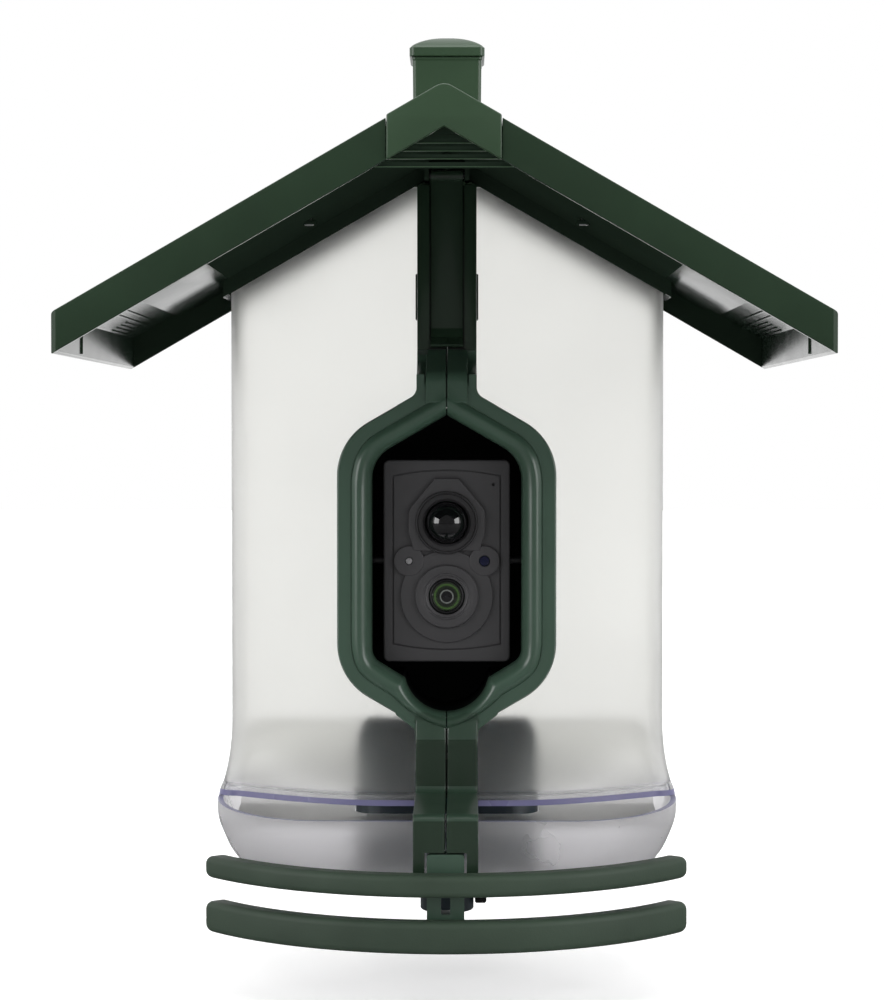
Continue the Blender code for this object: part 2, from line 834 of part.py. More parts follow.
def make_tray(material):
    tall = tray_rim - tray_bottom
    shape_shares = ((0.0, 0.0), (0.21, 0.01), (0.43, 0.11), (0.62, 0.23), (0.81, 0.44), (0.94, 0.74), (1.0, 1.0))
    rings = [tray_ring(tray_tuck * inward, tray_rim - tall * down) for down, inward in shape_shares]
    tray = loft("tray", rings, material, cap_start=False, cap_end=True)
    shell = tray.modifiers.new("wall", "SOLIDIFY")
    shell.thickness = tray_wall
    shell.offset = -1.0
    shell.use_even_offset = True
    hole = dome_ring(-gap)
    cut(tray, outline_solid("tray_hole", [hole], "XY", tray_bottom - over, tray_bottom + tray_wall + over))
    for i, (x, y) in enumerate(base_screw_places()):
        cut(tray, rod("tray_screw_hole_%d" % i, screw_shank_radius + gap, (x, y, tray_bottom - over),
                      (x, y, tray_bottom + tray_wall + over), sides=small_sides))
    return tray


def make_ramp(material):
    back = silo_back - silo_wall - gap
    t = ramp_thickness
    outline = [(back, ramp_top), (back, ramp_top - t * 1.5), (ramp_knee_back, ramp_knee - t),
               (ramp_front, ramp_front_height - t), (ramp_front, ramp_front_height),
               (ramp_knee_back, ramp_knee)]
    ramp = outline_solid("seed_ramp", [outline], "YZ", -ramp_half_width, ramp_half_width, material)
    hole = dome_ring(-gap, 0.0, dome_corner * 0.5)
    cut(ramp, outline_solid("ramp_hole", [hole], "XY", ramp_front_height - over * 2.0, dome_top + over))
    for side in (-1, 1):
        x, y = side * (ramp_half_width + over), back + over
        corner = [(x, y), (x, y - over - ramp_corner), (x - side * (over + ramp_corner), y)]
        cut(ramp, outline_solid("ramp_corner_%d" % side, [corner], "XY", ramp_knee, ramp_top + over))
    return ramp


def dome_ring(inset, lean=0.0, corner=dome_corner):
    """The housing seen from above, moved inwards all round and its front leant back."""
    front, back = dome_front + inset + lean, dome_back - inset
    return round_box(dome_half_width - inset, (back - front) / 2.0,
                     min(corner - inset, (back - front) * 0.4), (0.0, (back + front) / 2.0))


def base_screw_places():
    x = dome_half_width + flange_margin / 2.0
    front, back = dome_front + dome_corner * 0.5, dome_back - dome_corner * 0.5
    return [(x, back), (-x, back), (-x, front), (x, front)]


def make_pole_socket(material):
    flange_top = tray_bottom - gap
    flange_low = flange_top - flange_thickness
    bend = dome_top - dome_round
    lean_tall = dome_top - dome_lean_bottom
    levels = [(0.0, 0.0, flange_low), (0.0, 0.0, dome_lean_bottom),
              (0.0, dome_lean * (bend - dome_lean_bottom) / lean_tall, bend)]
    for share in (0.35, 0.7, 1.0):
        turn = share * math.pi / 2.0
        z = dome_top - dome_round * (1.0 - math.sin(turn))
        levels.append((dome_round * (1.0 - math.cos(turn)) * 0.4, dome_lean * (z - dome_lean_bottom) / lean_tall, z))
    rings = [[(x, y, z) for x, y in dome_ring(inset, lean)] for inset, lean, z in levels]
    socket = loft("pole_socket", rings, material)
    room = []
    for inset, lean, z in levels:
        low = z - over if z == flange_low else z - dome_wall
        room.append([(x, y, low) for x, y in dome_ring(inset + dome_wall, lean)])
    hollow = loft("socket_room", room)
    front, back = dome_front - flange_margin, dome_back + flange_back_margin
    flange = outline_solid("socket_flange", [
        round_box(dome_half_width + flange_margin, (back - front) / 2.0, dome_corner, (0.0, (back + front) / 2.0)),
        dome_ring(dome_wall / 2.0)], "XY", flange_low, flange_top)
    join(socket, flange)
    cut(socket, hollow)
    for i, (x, y) in enumerate(base_screw_places()):
        cut(socket, rod("socket_screw_hole_%d" % i, screw_shank_radius + gap, (x, y, flange_low - over),
                        (x, y, flange_top + over), sides=small_sides))
    return socket


def make_pole_tube(material):
    tube = rod("pole_tube", tube_radius, (0, 0, 0), (0, 0, tube_top), material)
    reach = dome_half_width - dome_wall - gap
    low = tray_bottom - gap - flange_thickness
    join(tube, box("tube_rib", (-reach, -tube_rib / 2.0, low), (reach, tube_rib / 2.0, tube_bore_depth)))
    cut(tube, rod("tube_room", tube_bore, (0, 0, -over), (0, 0, tube_bore_depth)),
        rod("tube_clamp_hole", clamp_shank_radius + gap, (tube_bore * 0.7, 0, clamp_height),
            (tube_radius + over, 0, clamp_height), sides=small_sides))
    return tube


def make_base_screws(material):
    for i, (x, y) in enumerate(base_screw_places()):
        seat = tray_bottom - gap - flange_thickness - gap
        make_screw("base_screw_%d" % (i + 1), (x, y, seat), (0, 0, 1), screw_head_radius, screw_head_height,
                   screw_shank_radius, base_screw_length, material)


def make_clamp_screw(material):
    start = tube_bore + gap
    knob = tube_radius + run_gap
    clamp = rod("clamp_screw", clamp_shank_radius, (start, 0, clamp_height), (knob + over, 0, clamp_height),
                material, small_sides)
    points = []
    for i in range(small_sides * 2):
        turn = math.pi * i / small_sides
        radius = clamp_knob_radius * (1.0 if i % 4 < 2 else 0.88)
        points.append((radius * math.cos(turn), clamp_height + radius * math.sin(turn)))
    join(clamp, outline_solid("clamp_knob", [points], "YZ", knob, knob + clamp_knob_length))
    own_origin(clamp, (0, 0, clamp_height))
    return clamp


# Front frame

def ring_outer_half():
    """Right half of the ring's outer outline, from its hidden apex down to the step by the column."""
    line = slope * ring_half_width
    corners = [(0.0, ring_apex, 0.0), (ring_half_width, ring_apex - line, ring_corner),
               (ring_half_width, ring_low_corner, ring_corner), (ring_step_half, ring_step_height, 0.0),
               (0.0, ring_step_height - slope * ring_step_half, 0.0)]
    return round_corners(corners, 6)


def opening_half():
    """Right half of the opening: pointed top, straight sides and the round lobe under the lens."""
    line = slope * opening_half_width
    lobe_start = math.radians(-12.0)
    edge = arc((0.0, lobe_height), lobe_radius, lobe_start, -math.pi / 2.0, 8)
    corners = [(0.0, opening_apex, 0.0), (opening_half_width, opening_apex - line, opening_corner),
               (opening_half_width, opening_low_corner, opening_low_round), (edge[0][0], edge[0][1], 0.0)]
    return round_corners(corners, 5)[:-1] + edge


def pocket_outline(grow=0.0):
    """Right half of the pocket's outline, grown outwards by a wall or a clearance."""
    lobe_start = math.radians(-8.0)
    edge = arc((0.0, lobe_height), lobe_radius + run_gap + grow, lobe_start, -math.pi / 2.0, 6)
    edge[-1] = (0.0, edge[-1][1])
    corners = [(0.0, pocket_apex + grow, 0.0),
               (pocket_half_width + grow, pocket_shoulder + grow, pocket_shoulder_round + grow),
               (pocket_half_width + grow, pocket_foot - grow, pocket_foot_round + grow),
               (edge[0][0], pocket_foot - grow - gap, 0.0)]
    low = [point for point in edge if point[1] < pocket_foot - grow - gap]
    return round_corners(corners, 4) + low


def spread(points, count):
    """The same outline with a set number of points, evenly spaced along it."""
    lengths = [0.0]
    for a, b in zip(points, points[1:]):
        lengths.append(lengths[-1] + (Vector(b) - Vector(a)).length)
    result = []
    for i in range(count):
        want = lengths[-1] * i / (count - 1)
        k = max(j for j in range(len(lengths) - 1) if lengths[j] <= want + gap / 1000.0)
        span = lengths[k + 1] - lengths[k]
        share = 0.0 if span == 0.0 else min(1.0, (want - lengths[k]) / span)
        result.append(tuple(Vector(points[k]).lerp(Vector(points[k + 1]), share)))
    return result


def make_frame_half(side, material):
    name = "front_frame_right" if side > 0 else "front_frame_left"
    outer = spread(ring_outer_half(), 34)
    inner = spread(opening_half(), 34)
    back = silo_front - gap
    chamfer = ring_bead * 0.5
    profile_shares = ((0.0, back), (0.0, ring_front + chamfer), (0.05, ring_front), (0.44, ring_front),
                      (0.47, ring_front + chamfer), (0.56, ring_front - ring_bead * 0.6),
                      (0.68, ring_front - ring_bead), (0.84, ring_front - ring_bead * 0.1),
                      (0.96, ring_front + ring_bead * 2.2), (1.0, ring_front + ring_bead * 4.0),
                      (1.0, ring_back), (0.26, ring_back), (0.26, back))
    rings = []
    for i, ((ox, oz), (ix, iz)) in enumerate(zip(outer, inner)):
        ends = i in (0, len(outer) - 1)
        ring = []
        for share, y in profile_shares:
            x = ox + (ix - ox) * share
            z = oz + (iz - oz) * share
            ring.append((side * (seam_half if ends else max(x, seam_half)), y, z))
        rings.append(ring)
    half = loft(name, rings, material)

    low, high = sorted((side * seam_half, side * column_half_width))
    upper = round_corners([
        (back, column_top, 0.0), (column_front, column_top, 0.0), (column_front, knuckle_top, 0.0),
        (knuckle_front, knuckle_top, run_gap * 4.0), (knuckle_front, knuckle_bottom, run_gap * 2.0),
        (ring_front + gap, knuckle_bottom - (knuckle_front - ring_front) * 0.6, 0.0),
        (ring_front + gap, opening_apex + lobe_radius * 0.25, 0.0),
        (ring_back - gap, opening_apex + lobe_radius * 0.25, 0.0),
        (ring_back - gap, knuckle_bottom, 0.0), (back, knuckle_bottom, 0.0)], 3)
    join(half, outline_solid(name + "_upper", [upper], "YZ", low, high))
    low, high = sorted((side * seam_half, side * lower_half_width))
    lobe_bottom = lobe_height - lobe_radius
    leg_back = arm_front + leg_thickness
    under_pocket = lobe_bottom - run_gap - pocket_wall - gap
    lower = round_corners([
        (lower_back, under_pocket, 0.0), (ring_back - gap, under_pocket, 0.0),
        (ring_back - gap, lobe_bottom - run_gap * 2.0, 0.0), (lower_front, lobe_bottom - run_gap * 2.0, 0.0),
        (lower_front, arm_top, run_gap * 5.0), (arm_front, arm_top, run_gap * 4.0), (arm_front, leg_bottom, 0.0),
        (leg_back, leg_bottom, 0.0), (leg_back, arm_bottom, 0.0),
        (lower_front, arm_bottom, 0.0), (lower_front, column_foot, 0.0), (lower_back_foot, column_foot, 0.0),
        (lower_back_foot, lower_bend_foot, 0.0), (lower_back, lower_bend_top, 0.0)], 3)
    join(half, outline_solid(name + "_lower", [lower], "YZ", low, high))
    near, far = sorted((side * (column_half_width - over), side * (column_half_width + pad_proud)))
    join(half, box(name + "_pad", (near, column_front + over, pad_bottom), (far, back - over, pad_top)))

    reach = side * channel_half_width
    low, high = sorted((-side * over, reach))
    cut(half, box(name + "_channel", (low, column_front - over, channel_bottom),
                  (high, column_front + channel_depth, column_top + over)))
    low, high = sorted((-side * over, side * notch_half_width))
    cut(half, box(name + "_notch", (low, arm_front - over, leg_bottom - over),
                  (high, leg_back + over, notch_top)))
    for part, y, z in (("upper", frame_screw_upper_back, frame_screw_upper_height),
                       ("lower", frame_screw_lower_back, frame_screw_lower_height)):
        cut(half, rod("%s_bore_%s" % (name, part), frame_screw_radius + gap,
                      (-frame_screw_length, y, z), (frame_screw_length * 2.0, y, z), sides=small_sides)
            if side > 0 else
            rod("%s_bore_%s" % (name, part), frame_screw_radius + gap,
                (frame_seat(part) - frame_screw_length - gap, y, z), (over, y, z), sides=small_sides))
        if side > 0:
            cut(half, rod("%s_head_%s" % (name, part), frame_screw_head + gap, (frame_seat(part), y, z),
                          (frame_seat(part) + frame_screw_head * 4.0, y, z), sides=small_sides))
    return half


def frame_seat(part):
    half = column_half_width + pad_proud if part == "upper" else lower_half_width
    return half - screw_head_height - gap


def make_frame_screws(material):
    for part, y, z in (("upper", frame_screw_upper_back, frame_screw_upper_height),
                       ("lower", frame_screw_lower_back, frame_screw_lower_height)):
        make_screw("frame_screw_" + part, (frame_seat(part) + gap, y, z), (-1, 0, 0), frame_screw_head,
                   screw_head_height, frame_screw_radius, frame_screw_length, material)


def make_pocket(material):
    front = ring_back + gap
    pocket = outline_solid("camera_pocket", [mirrored(pocket_outline(pocket_wall))], "XZ", front, pocket_back,
                           material)
    cut(pocket, outline_solid("pocket_room", [mirrored(pocket_outline())], "XZ", front - over,
                              pocket_back - pocket_wall))
    reach = pocket_half_width + pocket_wall + over
    cut(pocket, rod("pocket_pin_hole", pivot_radius + gap, (-reach, pivot_back, camera_height),
                    (reach, pivot_back, camera_height), sides=small_sides))
    return pocket


# Camera

def make_front_case(material):
    low, high = camera_front, case_split - gasket_thickness / 2.0 - gap
    outline = round_box(camera_half_width, camera_half_height, camera_round, (0.0, camera_height))
    case = outline_solid("camera_front_case", [outline], "XZ", low, high, material)
    soften(case, camera_round * 0.3, 1, 60.0)
    wall = case_wall
    room = round_box(camera_half_width - wall, camera_half_height - wall, camera_round - wall * 0.5,
                     (0.0, camera_height))
    cut(case, outline_solid("front_case_room", [room], "XZ", low + wall, high + over))
    sink = low + wall / 2.0
    bezel = round_corners([
        (-bezel_top_half, bezel_top, 0.0), (bezel_top_half, bezel_top, 0.0),
        (bezel_shoulder_half, bezel_shoulder, over), (bezel_shoulder_half, camera_height + window_disc_radius, 0.0),
        (-bezel_shoulder_half, camera_height + window_disc_radius, 0.0),
        (-bezel_shoulder_half, bezel_shoulder, over)], 3)
    join(case, outline_solid("bezel_hump", [bezel], "XZ", low - bezel_height, sink))
    join(case, rod("lens_disc", lens_disc_radius, (0, low - lens_disc_height, lens_height),
                   (0, sink, lens_height), sides=32))
    for side in (-1, 1):
        join(case, rod("window_disc_%d" % side, window_disc_radius,
                       (side * window_out, low - window_disc_height, camera_height),
                       (side * window_out, sink, camera_height)))
    deep = low + wall + over
    cut(case, rod("pir_hole", pir_radius + gap, (0, low - over * 2.0, pir_height), (0, deep, pir_height)),
        rod("lens_hole", lens_barrel_radius + gap, (0, low - over * 2.0, lens_height), (0, deep, lens_height)),
        rod("light_hole", light_window_radius + gap, (-window_out, low - over * 2.0, camera_height),
            (-window_out, deep, camera_height), sides=small_sides),
        rod("status_hole", status_window_radius + gap, (window_out, low - over * 2.0, camera_height),
            (window_out, deep, camera_height), sides=small_sides))
    reach = camera_half_width + over
    cut(case, rod("case_pin_hole", pivot_radius + gap, (-reach, pivot_back, camera_height),
                  (reach, pivot_back, camera_height), sides=small_sides))
    own_origin(case, (0, pivot_back, camera_height))
    return case


def make_rear_case(material):
    low, high = case_split + gasket_thickness / 2.0 + gap, camera_back
    outline = round_box(camera_half_width, camera_half_height, camera_round, (0.0, camera_height))
    case = outline_solid("camera_rear_case", [outline], "XZ", low, high, material)
    soften(case, camera_round * 0.3, 1, 60.0)
    half_x, half_z = camera_half_width - case_wall, camera_half_height - case_wall
    room = outline_solid("rear_case_room", [round_box(half_x, half_z, camera_round - case_wall * 0.5,
                                                      (0.0, camera_height))], "XZ", low - over, high - case_wall)
    cut(case, room)
    for i, (x, z) in enumerate(corner_posts()):
        post = box("rear_case_post_%d" % i, (x - post_size / 2.0, low + over, z - post_size / 2.0),
                   (x + post_size / 2.0, high - case_wall / 2.0, z + post_size / 2.0))
        join(case, post)
        cut(case, rod("rear_case_bore_%d" % i, screw_shank_radius + gap, (x, high - case_screw_length - over, z),
                      (x, high + over, z), sides=small_sides),
            rod("rear_case_head_%d" % i, screw_head_radius + gap, (x, high - screw_head_height, z),
                (x, high + over, z), sides=small_sides))
    floor = camera_height - camera_half_height
    cut(case, box("port_hole", (-port_half_width - gap, port_back - port_half_depth - gap, floor - over),
                  (port_half_width + gap, port_back + port_half_depth + gap, floor + case_wall + over)),
        rod("button_hole", button_radius + gap, (button_out, port_back, floor - over),
            (button_out, port_back, floor + case_wall + over), sides=small_sides))
    own_origin(case, (0, pivot_back, camera_height))
    return case


def corner_posts():
    x = camera_half_width - case_wall - post_size * 0.45
    z = camera_half_height - case_wall - post_size * 0.45
    return [(x, camera_height + z), (-x, camera_height + z), (-x, camera_height - z), (x, camera_height - z)]


def make_camera_parts(dark, rubber, glass, metal, board_green, cell_wrap, white):
    gasket = [round_box(camera_half_width, camera_half_height, camera_round, (0.0, camera_height)),
              round_box(camera_half_width - gasket_width, camera_half_height - gasket_width, camera_round * 0.5,
                        (0.0, camera_height))]
    half = gasket_thickness / 2.0
    outline_solid("case_gasket", gasket, "XZ", case_split - half, case_split + half, rubber)
    for i, (x, z) in enumerate(corner_posts()):
        make_screw("case_screw_%d" % (i + 1), (x, camera_back - screw_head_height + gap, z), (0, -1, 0),
                   screw_head_radius, screw_head_height - gap, screw_shank_radius,
                   case_screw_length - screw_head_height, metal)

    bezel_face = camera_front - bezel_height
    r, h = pir_ring_radius, pir_ring_height
    turned("pir_ring", [(pir_radius + gap, h * 0.4), (pir_radius + h, h), (r - h, h), (r, h * 0.3), (r, 0.0),
                        (pir_radius + gap, 0.0)], (0, bezel_face - gap, pir_height), (0, -1, 0), rubber, 24)
    wall = case_wall / 2.0
    outside = [(pir_radius * math.sin(t), pir_radius * math.cos(t)) for t in
               [math.pi / 2.0 * i / 5.0 for i in range(6)]]
    inside = [(x * (1.0 - wall / pir_radius), z * (1.0 - wall / pir_radius)) for x, z in reversed(outside)]
    low = -(case_wall + bezel_height - gap)
    profile = outside + [(pir_radius, low), (pir_radius - wall, low)] + inside
    turned("pir_dome", profile, (0, bezel_face, pir_height), (0, -1, 0), glass, 24)
    board_face = board_front - gap
    rod("pir_sensor", pir_sensor_radius, (0, camera_front, pir_height), (0, board_face, pir_height), metal)

    disc_face = camera_front - lens_disc_height
    r, h = lens_ring_radius, lens_ring_height
    turned("lens_ring", [(lens_barrel_radius + gap, h * 0.2), (r - h * 1.5, h), (r - h * 0.4, h), (r, h * 0.5),
                         (r, 0.0), (lens_barrel_radius + gap, 0.0)], (0, disc_face - gap, lens_height),
           (0, -1, 0), dark, 24)
    glass_face = disc_face + lens_glass_thickness
    barrel = turned("lens_barrel", [
        (0.0, -glass_face - gap * 3.0), (lens_glass_radius * 0.5, -glass_face - gap * 3.0),
        (lens_glass_radius + gap, -glass_face - gap), (lens_glass_radius + gap, -disc_face),
        (lens_barrel_radius, -disc_face), (lens_barrel_radius, -board_face), (0.0, -board_face)],
        (0, 0, lens_height), (0, -1, 0), dark, 24)
    r, h = lens_glass_radius, lens_glass_crown
    turned("lens_glass", [(0.0, h), (r * 0.45, h * 0.85), (r * 0.8, h * 0.45), (r, 0.0),
                          (r, gap - lens_glass_thickness), (0.0, gap - lens_glass_thickness)],
           (0, disc_face, lens_height), (0, -1, 0), glass, 24)
    face = camera_front - window_disc_height
    rod("light_sensor_window", light_window_radius, (-window_out, face, camera_height),
        (-window_out, face + window_depth, camera_height), white, small_sides)
    rod("status_window", status_window_radius, (window_out, face, camera_height),
        (window_out, face + window_depth, camera_height), glass, small_sides)

    box("main_board", (-board_half_width, board_front, camera_height - board_half_height),
        (board_half_width, board_front + board_thickness, camera_height + board_half_height), board_green)
    cell_y = camera_back - case_wall - gap - cell_radius
    for side, name in ((-1, "battery_cell_left"), (1, "battery_cell_right")):
        x = side * (cell_radius + cell_spacing)
        top = camera_height + cell_length / 2.0
        nub = cell_radius * 0.35
        turned(name, [(0.0, cell_length / 2.0 + over / 2.0), (nub, cell_length / 2.0 + over / 2.0),
                      (nub, cell_length / 2.0), (cell_radius, cell_length / 2.0),
                      (cell_radius, -cell_length / 2.0), (0.0, -cell_length / 2.0)],
               (x, cell_y, top - cell_length / 2.0), (0, 0, 1), cell_wrap, 24)

    floor = camera_height - camera_half_height
    box("usb_port", (-port_half_width, port_back - port_half_depth, floor + gap),
        (port_half_width, port_back + port_half_depth, floor + port_length - case_wall), metal)
    cover_back = port_back + port_half_depth + case_wall
    cover = box("port_cover", (-cover_half_width, cover_back - cover_depth, floor - gap - cover_thickness),
                (cover_half_width, cover_back, floor - gap), rubber)
    soften(cover, cover_thickness * 0.3)
    own_origin(cover, (0, cover_back, floor - gap - cover_thickness / 2.0))
    lift = button_proud
    button = turned("power_button", [(0.0, case_wall), (button_radius - gap, case_wall),
                                     (button_radius - gap, -lift * 0.7), (button_radius * 0.8, -lift),
                                     (0.0, -lift)], (button_out, port_back, floor), (0, 0, 1), rubber, small_sides)
    return barrel, button


def make_pivot_pins(material):
    for side, name in ((-1, "pivot_pin_left"), (1, "pivot_pin_right")):
        outer = pocket_half_width + pocket_wall
        rod(name, pivot_radius, (side * (outer - pivot_length), pivot_back, camera_height),
            (side * outer, pivot_back, camera_height), material, small_sides)


# Perches

def make_perch(name, top, height, material):
    centre = perch_front + perch_radius
    reach = math.asin(perch_half_chord / perch_radius)
    start = -math.pi / 2.0
    outer = arc((0.0, centre), perch_radius, start - reach, start + reach, perch_steps)
    inner = arc((0.0, centre), perch_radius - perch_depth, start + reach, start - reach, perch_steps)
    bar = outline_solid(name, [outer + inner], "XY", top - height, top, material)
    soften(bar, perch_edge, 2, 50.0)
    middle = top - height / 2.0
    bore = perch_front + perch_depth
    cut(bar, rod(name + "_bore", screw_shank_radius + gap, (0, bore + over, middle),
                 (0, bore - perch_depth * 0.5, middle), sides=small_sides))
    return bar


def make_perches(green, metal):
    make_perch("perch_upper", perch_upper_top, perch_upper_height, green)
    make_perch("perch_lower", perch_lower_top, perch_lower_height, green)
    face = perch_front + perch_depth + gap * 2.0
    corners = [(post_half_width, post_top, over), (-post_half_width, post_top, over),
               (-post_half_width, post_bottom, 0.0), (post_half_width, post_bottom, 0.0)]
    slot_top = perch_upper_top - perch_upper_height - post_slot_margin
    slot_low = perch_lower_top + post_slot_margin
    slot = [(post_slot_half, slot_top), (-post_slot_half, slot_top),
            (-post_slot_half, slot_low), (post_slot_half, slot_low)]
    post = outline_solid("perch_post", [round_corners(corners, 3), slot], "XZ", face, post_back, green)
    for name, top, height in (("upper", perch_upper_top, perch_upper_height),
                              ("lower", perch_lower_top, perch_lower_height)):
        middle = top - height / 2.0
        cut(post, rod("post_bore_" + name, screw_shank_radius + gap, (0, face - over, middle),
                      (0, post_back + over, middle), sides=small_sides))
        length = post_back - face + perch_depth * 0.4
        make_screw("perch_screw_" + name, (0, post_back + gap, middle), (0, -1, 0), screw_head_radius,
                   screw_head_height, screw_shank_radius, length, metal)


clear_scene()
parts = new_collection("bird_feeder")
cutters = new_collection("cutters")
cutters.hide_render = True

green = finish_material("green_plastic", (0.030, 0.062, 0.038), 0.45)
dark_green = finish_material("dark_green_plastic", (0.012, 0.022, 0.016), 0.5)
frosted = finish_material("frosted_plastic", (0.82, 0.82, 0.80), 0.4, alpha=0.7)
clear = finish_material("clear_plastic", (0.78, 0.78, 0.84), 0.1, alpha=0.4)
grey = finish_material("dark_grey_plastic", (0.045, 0.043, 0.045), 0.5)
rubber = finish_material("black_rubber", (0.015, 0.015, 0.015), 0.7)
glass = finish_material("dark_glass", (0.01, 0.01, 0.012), 0.05)
metal = finish_material("steel", (0.55, 0.55, 0.56), 0.3, 1.0)
board = finish_material("circuit_board", (0.02, 0.12, 0.06), 0.5)
wrap = finish_material("cell_wrap", (0.05, 0.12, 0.30), 0.4)
white = finish_material("white_plastic", (0.7, 0.7, 0.7), 0.4)

make_wing(-1, green)
make_wing(1, green)
make_ridge_cap(green)
make_louvre(green)
make_lid(green)
make_roof_screws(metal)
make_chimney(green)
make_chimney_cap(green)
make_tongue(green)
pin_reach = ear_half_span
rod("tongue_pin", tongue_pin_radius, (-pin_reach, tongue_pin_back, tongue_pin_height),
    (pin_reach, tongue_pin_back, tongue_pin_height), metal, small_sides)
make_silo(frosted)
make_tray(clear)
make_ramp(frosted)
make_pole_socket(dark_green)
make_pole_tube(dark_green)
make_base_screws(metal)
make_clamp_screw(rubber)
make_frame_half(-1, green)
make_frame_half(1, green)
make_frame_screws(metal)
make_pocket(dark_green)
make_front_case(grey)
make_rear_case(grey)
make_camera_parts(grey, rubber, glass, metal, board, wrap, white)
make_pivot_pins(metal)
make_perches(green, metal)
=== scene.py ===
import json
import math
import bpy
import bmesh
from mathutils import Matrix, Vector


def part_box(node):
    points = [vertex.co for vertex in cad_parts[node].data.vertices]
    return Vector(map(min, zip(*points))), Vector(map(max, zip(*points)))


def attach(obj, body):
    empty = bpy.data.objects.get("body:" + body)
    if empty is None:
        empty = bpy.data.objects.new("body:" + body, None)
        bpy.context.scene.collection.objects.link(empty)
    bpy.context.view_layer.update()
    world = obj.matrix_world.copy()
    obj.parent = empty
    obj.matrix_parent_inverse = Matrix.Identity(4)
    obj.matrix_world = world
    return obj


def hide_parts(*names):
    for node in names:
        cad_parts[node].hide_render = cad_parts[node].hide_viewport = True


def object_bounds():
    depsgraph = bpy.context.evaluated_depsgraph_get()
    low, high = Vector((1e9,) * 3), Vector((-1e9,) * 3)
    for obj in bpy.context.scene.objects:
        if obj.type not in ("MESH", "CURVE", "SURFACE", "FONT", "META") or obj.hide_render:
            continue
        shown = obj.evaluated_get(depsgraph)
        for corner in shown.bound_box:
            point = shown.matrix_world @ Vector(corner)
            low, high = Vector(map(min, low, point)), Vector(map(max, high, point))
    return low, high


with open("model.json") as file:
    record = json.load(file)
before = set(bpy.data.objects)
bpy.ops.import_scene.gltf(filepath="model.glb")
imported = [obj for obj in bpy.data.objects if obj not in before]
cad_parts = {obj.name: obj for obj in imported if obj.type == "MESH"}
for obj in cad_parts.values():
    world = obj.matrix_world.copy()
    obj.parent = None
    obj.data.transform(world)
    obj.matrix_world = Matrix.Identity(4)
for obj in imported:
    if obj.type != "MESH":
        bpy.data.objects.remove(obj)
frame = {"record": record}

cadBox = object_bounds()

# Shared measures, in metres, as the part has them
shared = {
    "gap": 0.0003,
    "slope": math.tan(math.radians(30.0)),
    "ridge": 0.3046,
    "roofHalf": 0.130,
    "roofFront": -0.170,
    "roofBack": 0.030,
    "fascia": 0.0139,
    "panelDrop": 0.0019 / math.cos(math.radians(30.0)),
    "capHalf": 0.019,
}
# how far a tool that cuts or joins runs past a face
past = 0.002
# radii of the holes for a screw's shank and its head
screwHole = 0.0014
headHole = 0.0024


def roofLine(x, drop=0.0):
    return shared["ridge"] - shared["slope"] * abs(x) - drop


# Small tools

def linear(red, green, blue):
    # a colour of 0 to 255 as the shaders take it
    def one(value):
        value = value / 255.0
        return value / 12.92 if value <= 0.04045 else ((value + 0.055) / 1.055) ** 2.4
    return (one(red), one(green), one(blue), 1.0)


def smooth(mesh, angle=35.0):
    mesh.shade_smooth()
    mesh.set_sharp_from_angle(angle=math.radians(angle))
    return mesh


def finishMesh(work, name, angle=35.0):
    bmesh.ops.recalc_face_normals(work, faces=work.faces)
    mesh = bpy.data.meshes.new(name)
    work.to_mesh(mesh)
    work.free()
    return smooth(mesh, angle)


def addObject(name, data, material=None):
    thing = bpy.data.objects.new(name, data)
    bpy.context.scene.collection.objects.link(thing)
    if material:
        data.materials.clear()
        data.materials.append(material)
    return thing


def builtMesh(thing):
    # the mesh that an object's modifiers or curve come to
    bpy.context.view_layer.update()
    return bpy.data.meshes.new_from_object(thing.evaluated_get(bpy.context.evaluated_depsgraph_get()))


def settle(thing, angle=35.0):
    # the evaluated shape becomes a plain mesh and its helpers go
    mesh = builtMesh(thing)
    mesh.transform(thing.matrix_world)
    materials = [m for m in thing.data.materials]
    helpers = [m.object for m in thing.modifiers if m.type == "BOOLEAN" and m.object]
    thing.modifiers.clear()
    thing.data = mesh
    thing.matrix_world = Matrix.Identity(4)
    if not mesh.materials and materials:
        mesh.materials.append(materials[0])
    for helper in set(helpers):
        bpy.data.objects.remove(helper, do_unlink=True)
    smooth(mesh, angle)


def loft(name, rings, material=None, capStart=True, capEnd=True, angle=35.0, closed=False):
    # closed joins the last ring to the first, so that the rings are the whole skin
    work = bmesh.new()
    rows = [[work.verts.new(point) for point in ring] for ring in rings]
    count = len(rows[0])
    for row, following in zip(rows, rows[1:] + (rows[:1] if closed else [])):
        for i in range(count):
            j = (i + 1) % count
            work.faces.new((row[i], row[j], following[j], following[i]))
    if capStart and not closed:
        work.faces.new(rows[0])
    if capEnd and not closed:
        work.faces.new(rows[-1])
    return addObject(name, finishMesh(work, name, angle), material)


def block(name, low, high, material=None):
    work = bmesh.new()
    bmesh.ops.create_cube(work, size=1.0)
    low, high = Vector(low), Vector(high)
    for vert in work.verts:
        vert.co = (low + high) / 2.0 + Vector(a * b for a, b in zip(vert.co, high - low))
    return addObject(name, finishMesh(work, name), material)


def rod(name, radius, start, end, material=None, sides=48):
    start, end = Vector(start), Vector(end)
    run = end - start
    work = bmesh.new()
    bmesh.ops.create_cone(work, cap_ends=True, segments=sides, radius1=radius, radius2=radius,
                          depth=run.length)
    turn = Vector((0.0, 0.0, 1.0)).rotation_difference(run.normalized()).to_matrix().to_4x4()
    bmesh.ops.transform(work, matrix=Matrix.Translation((start + end) / 2.0) @ turn, verts=work.verts)
    return addObject(name, finishMesh(work, name), material)


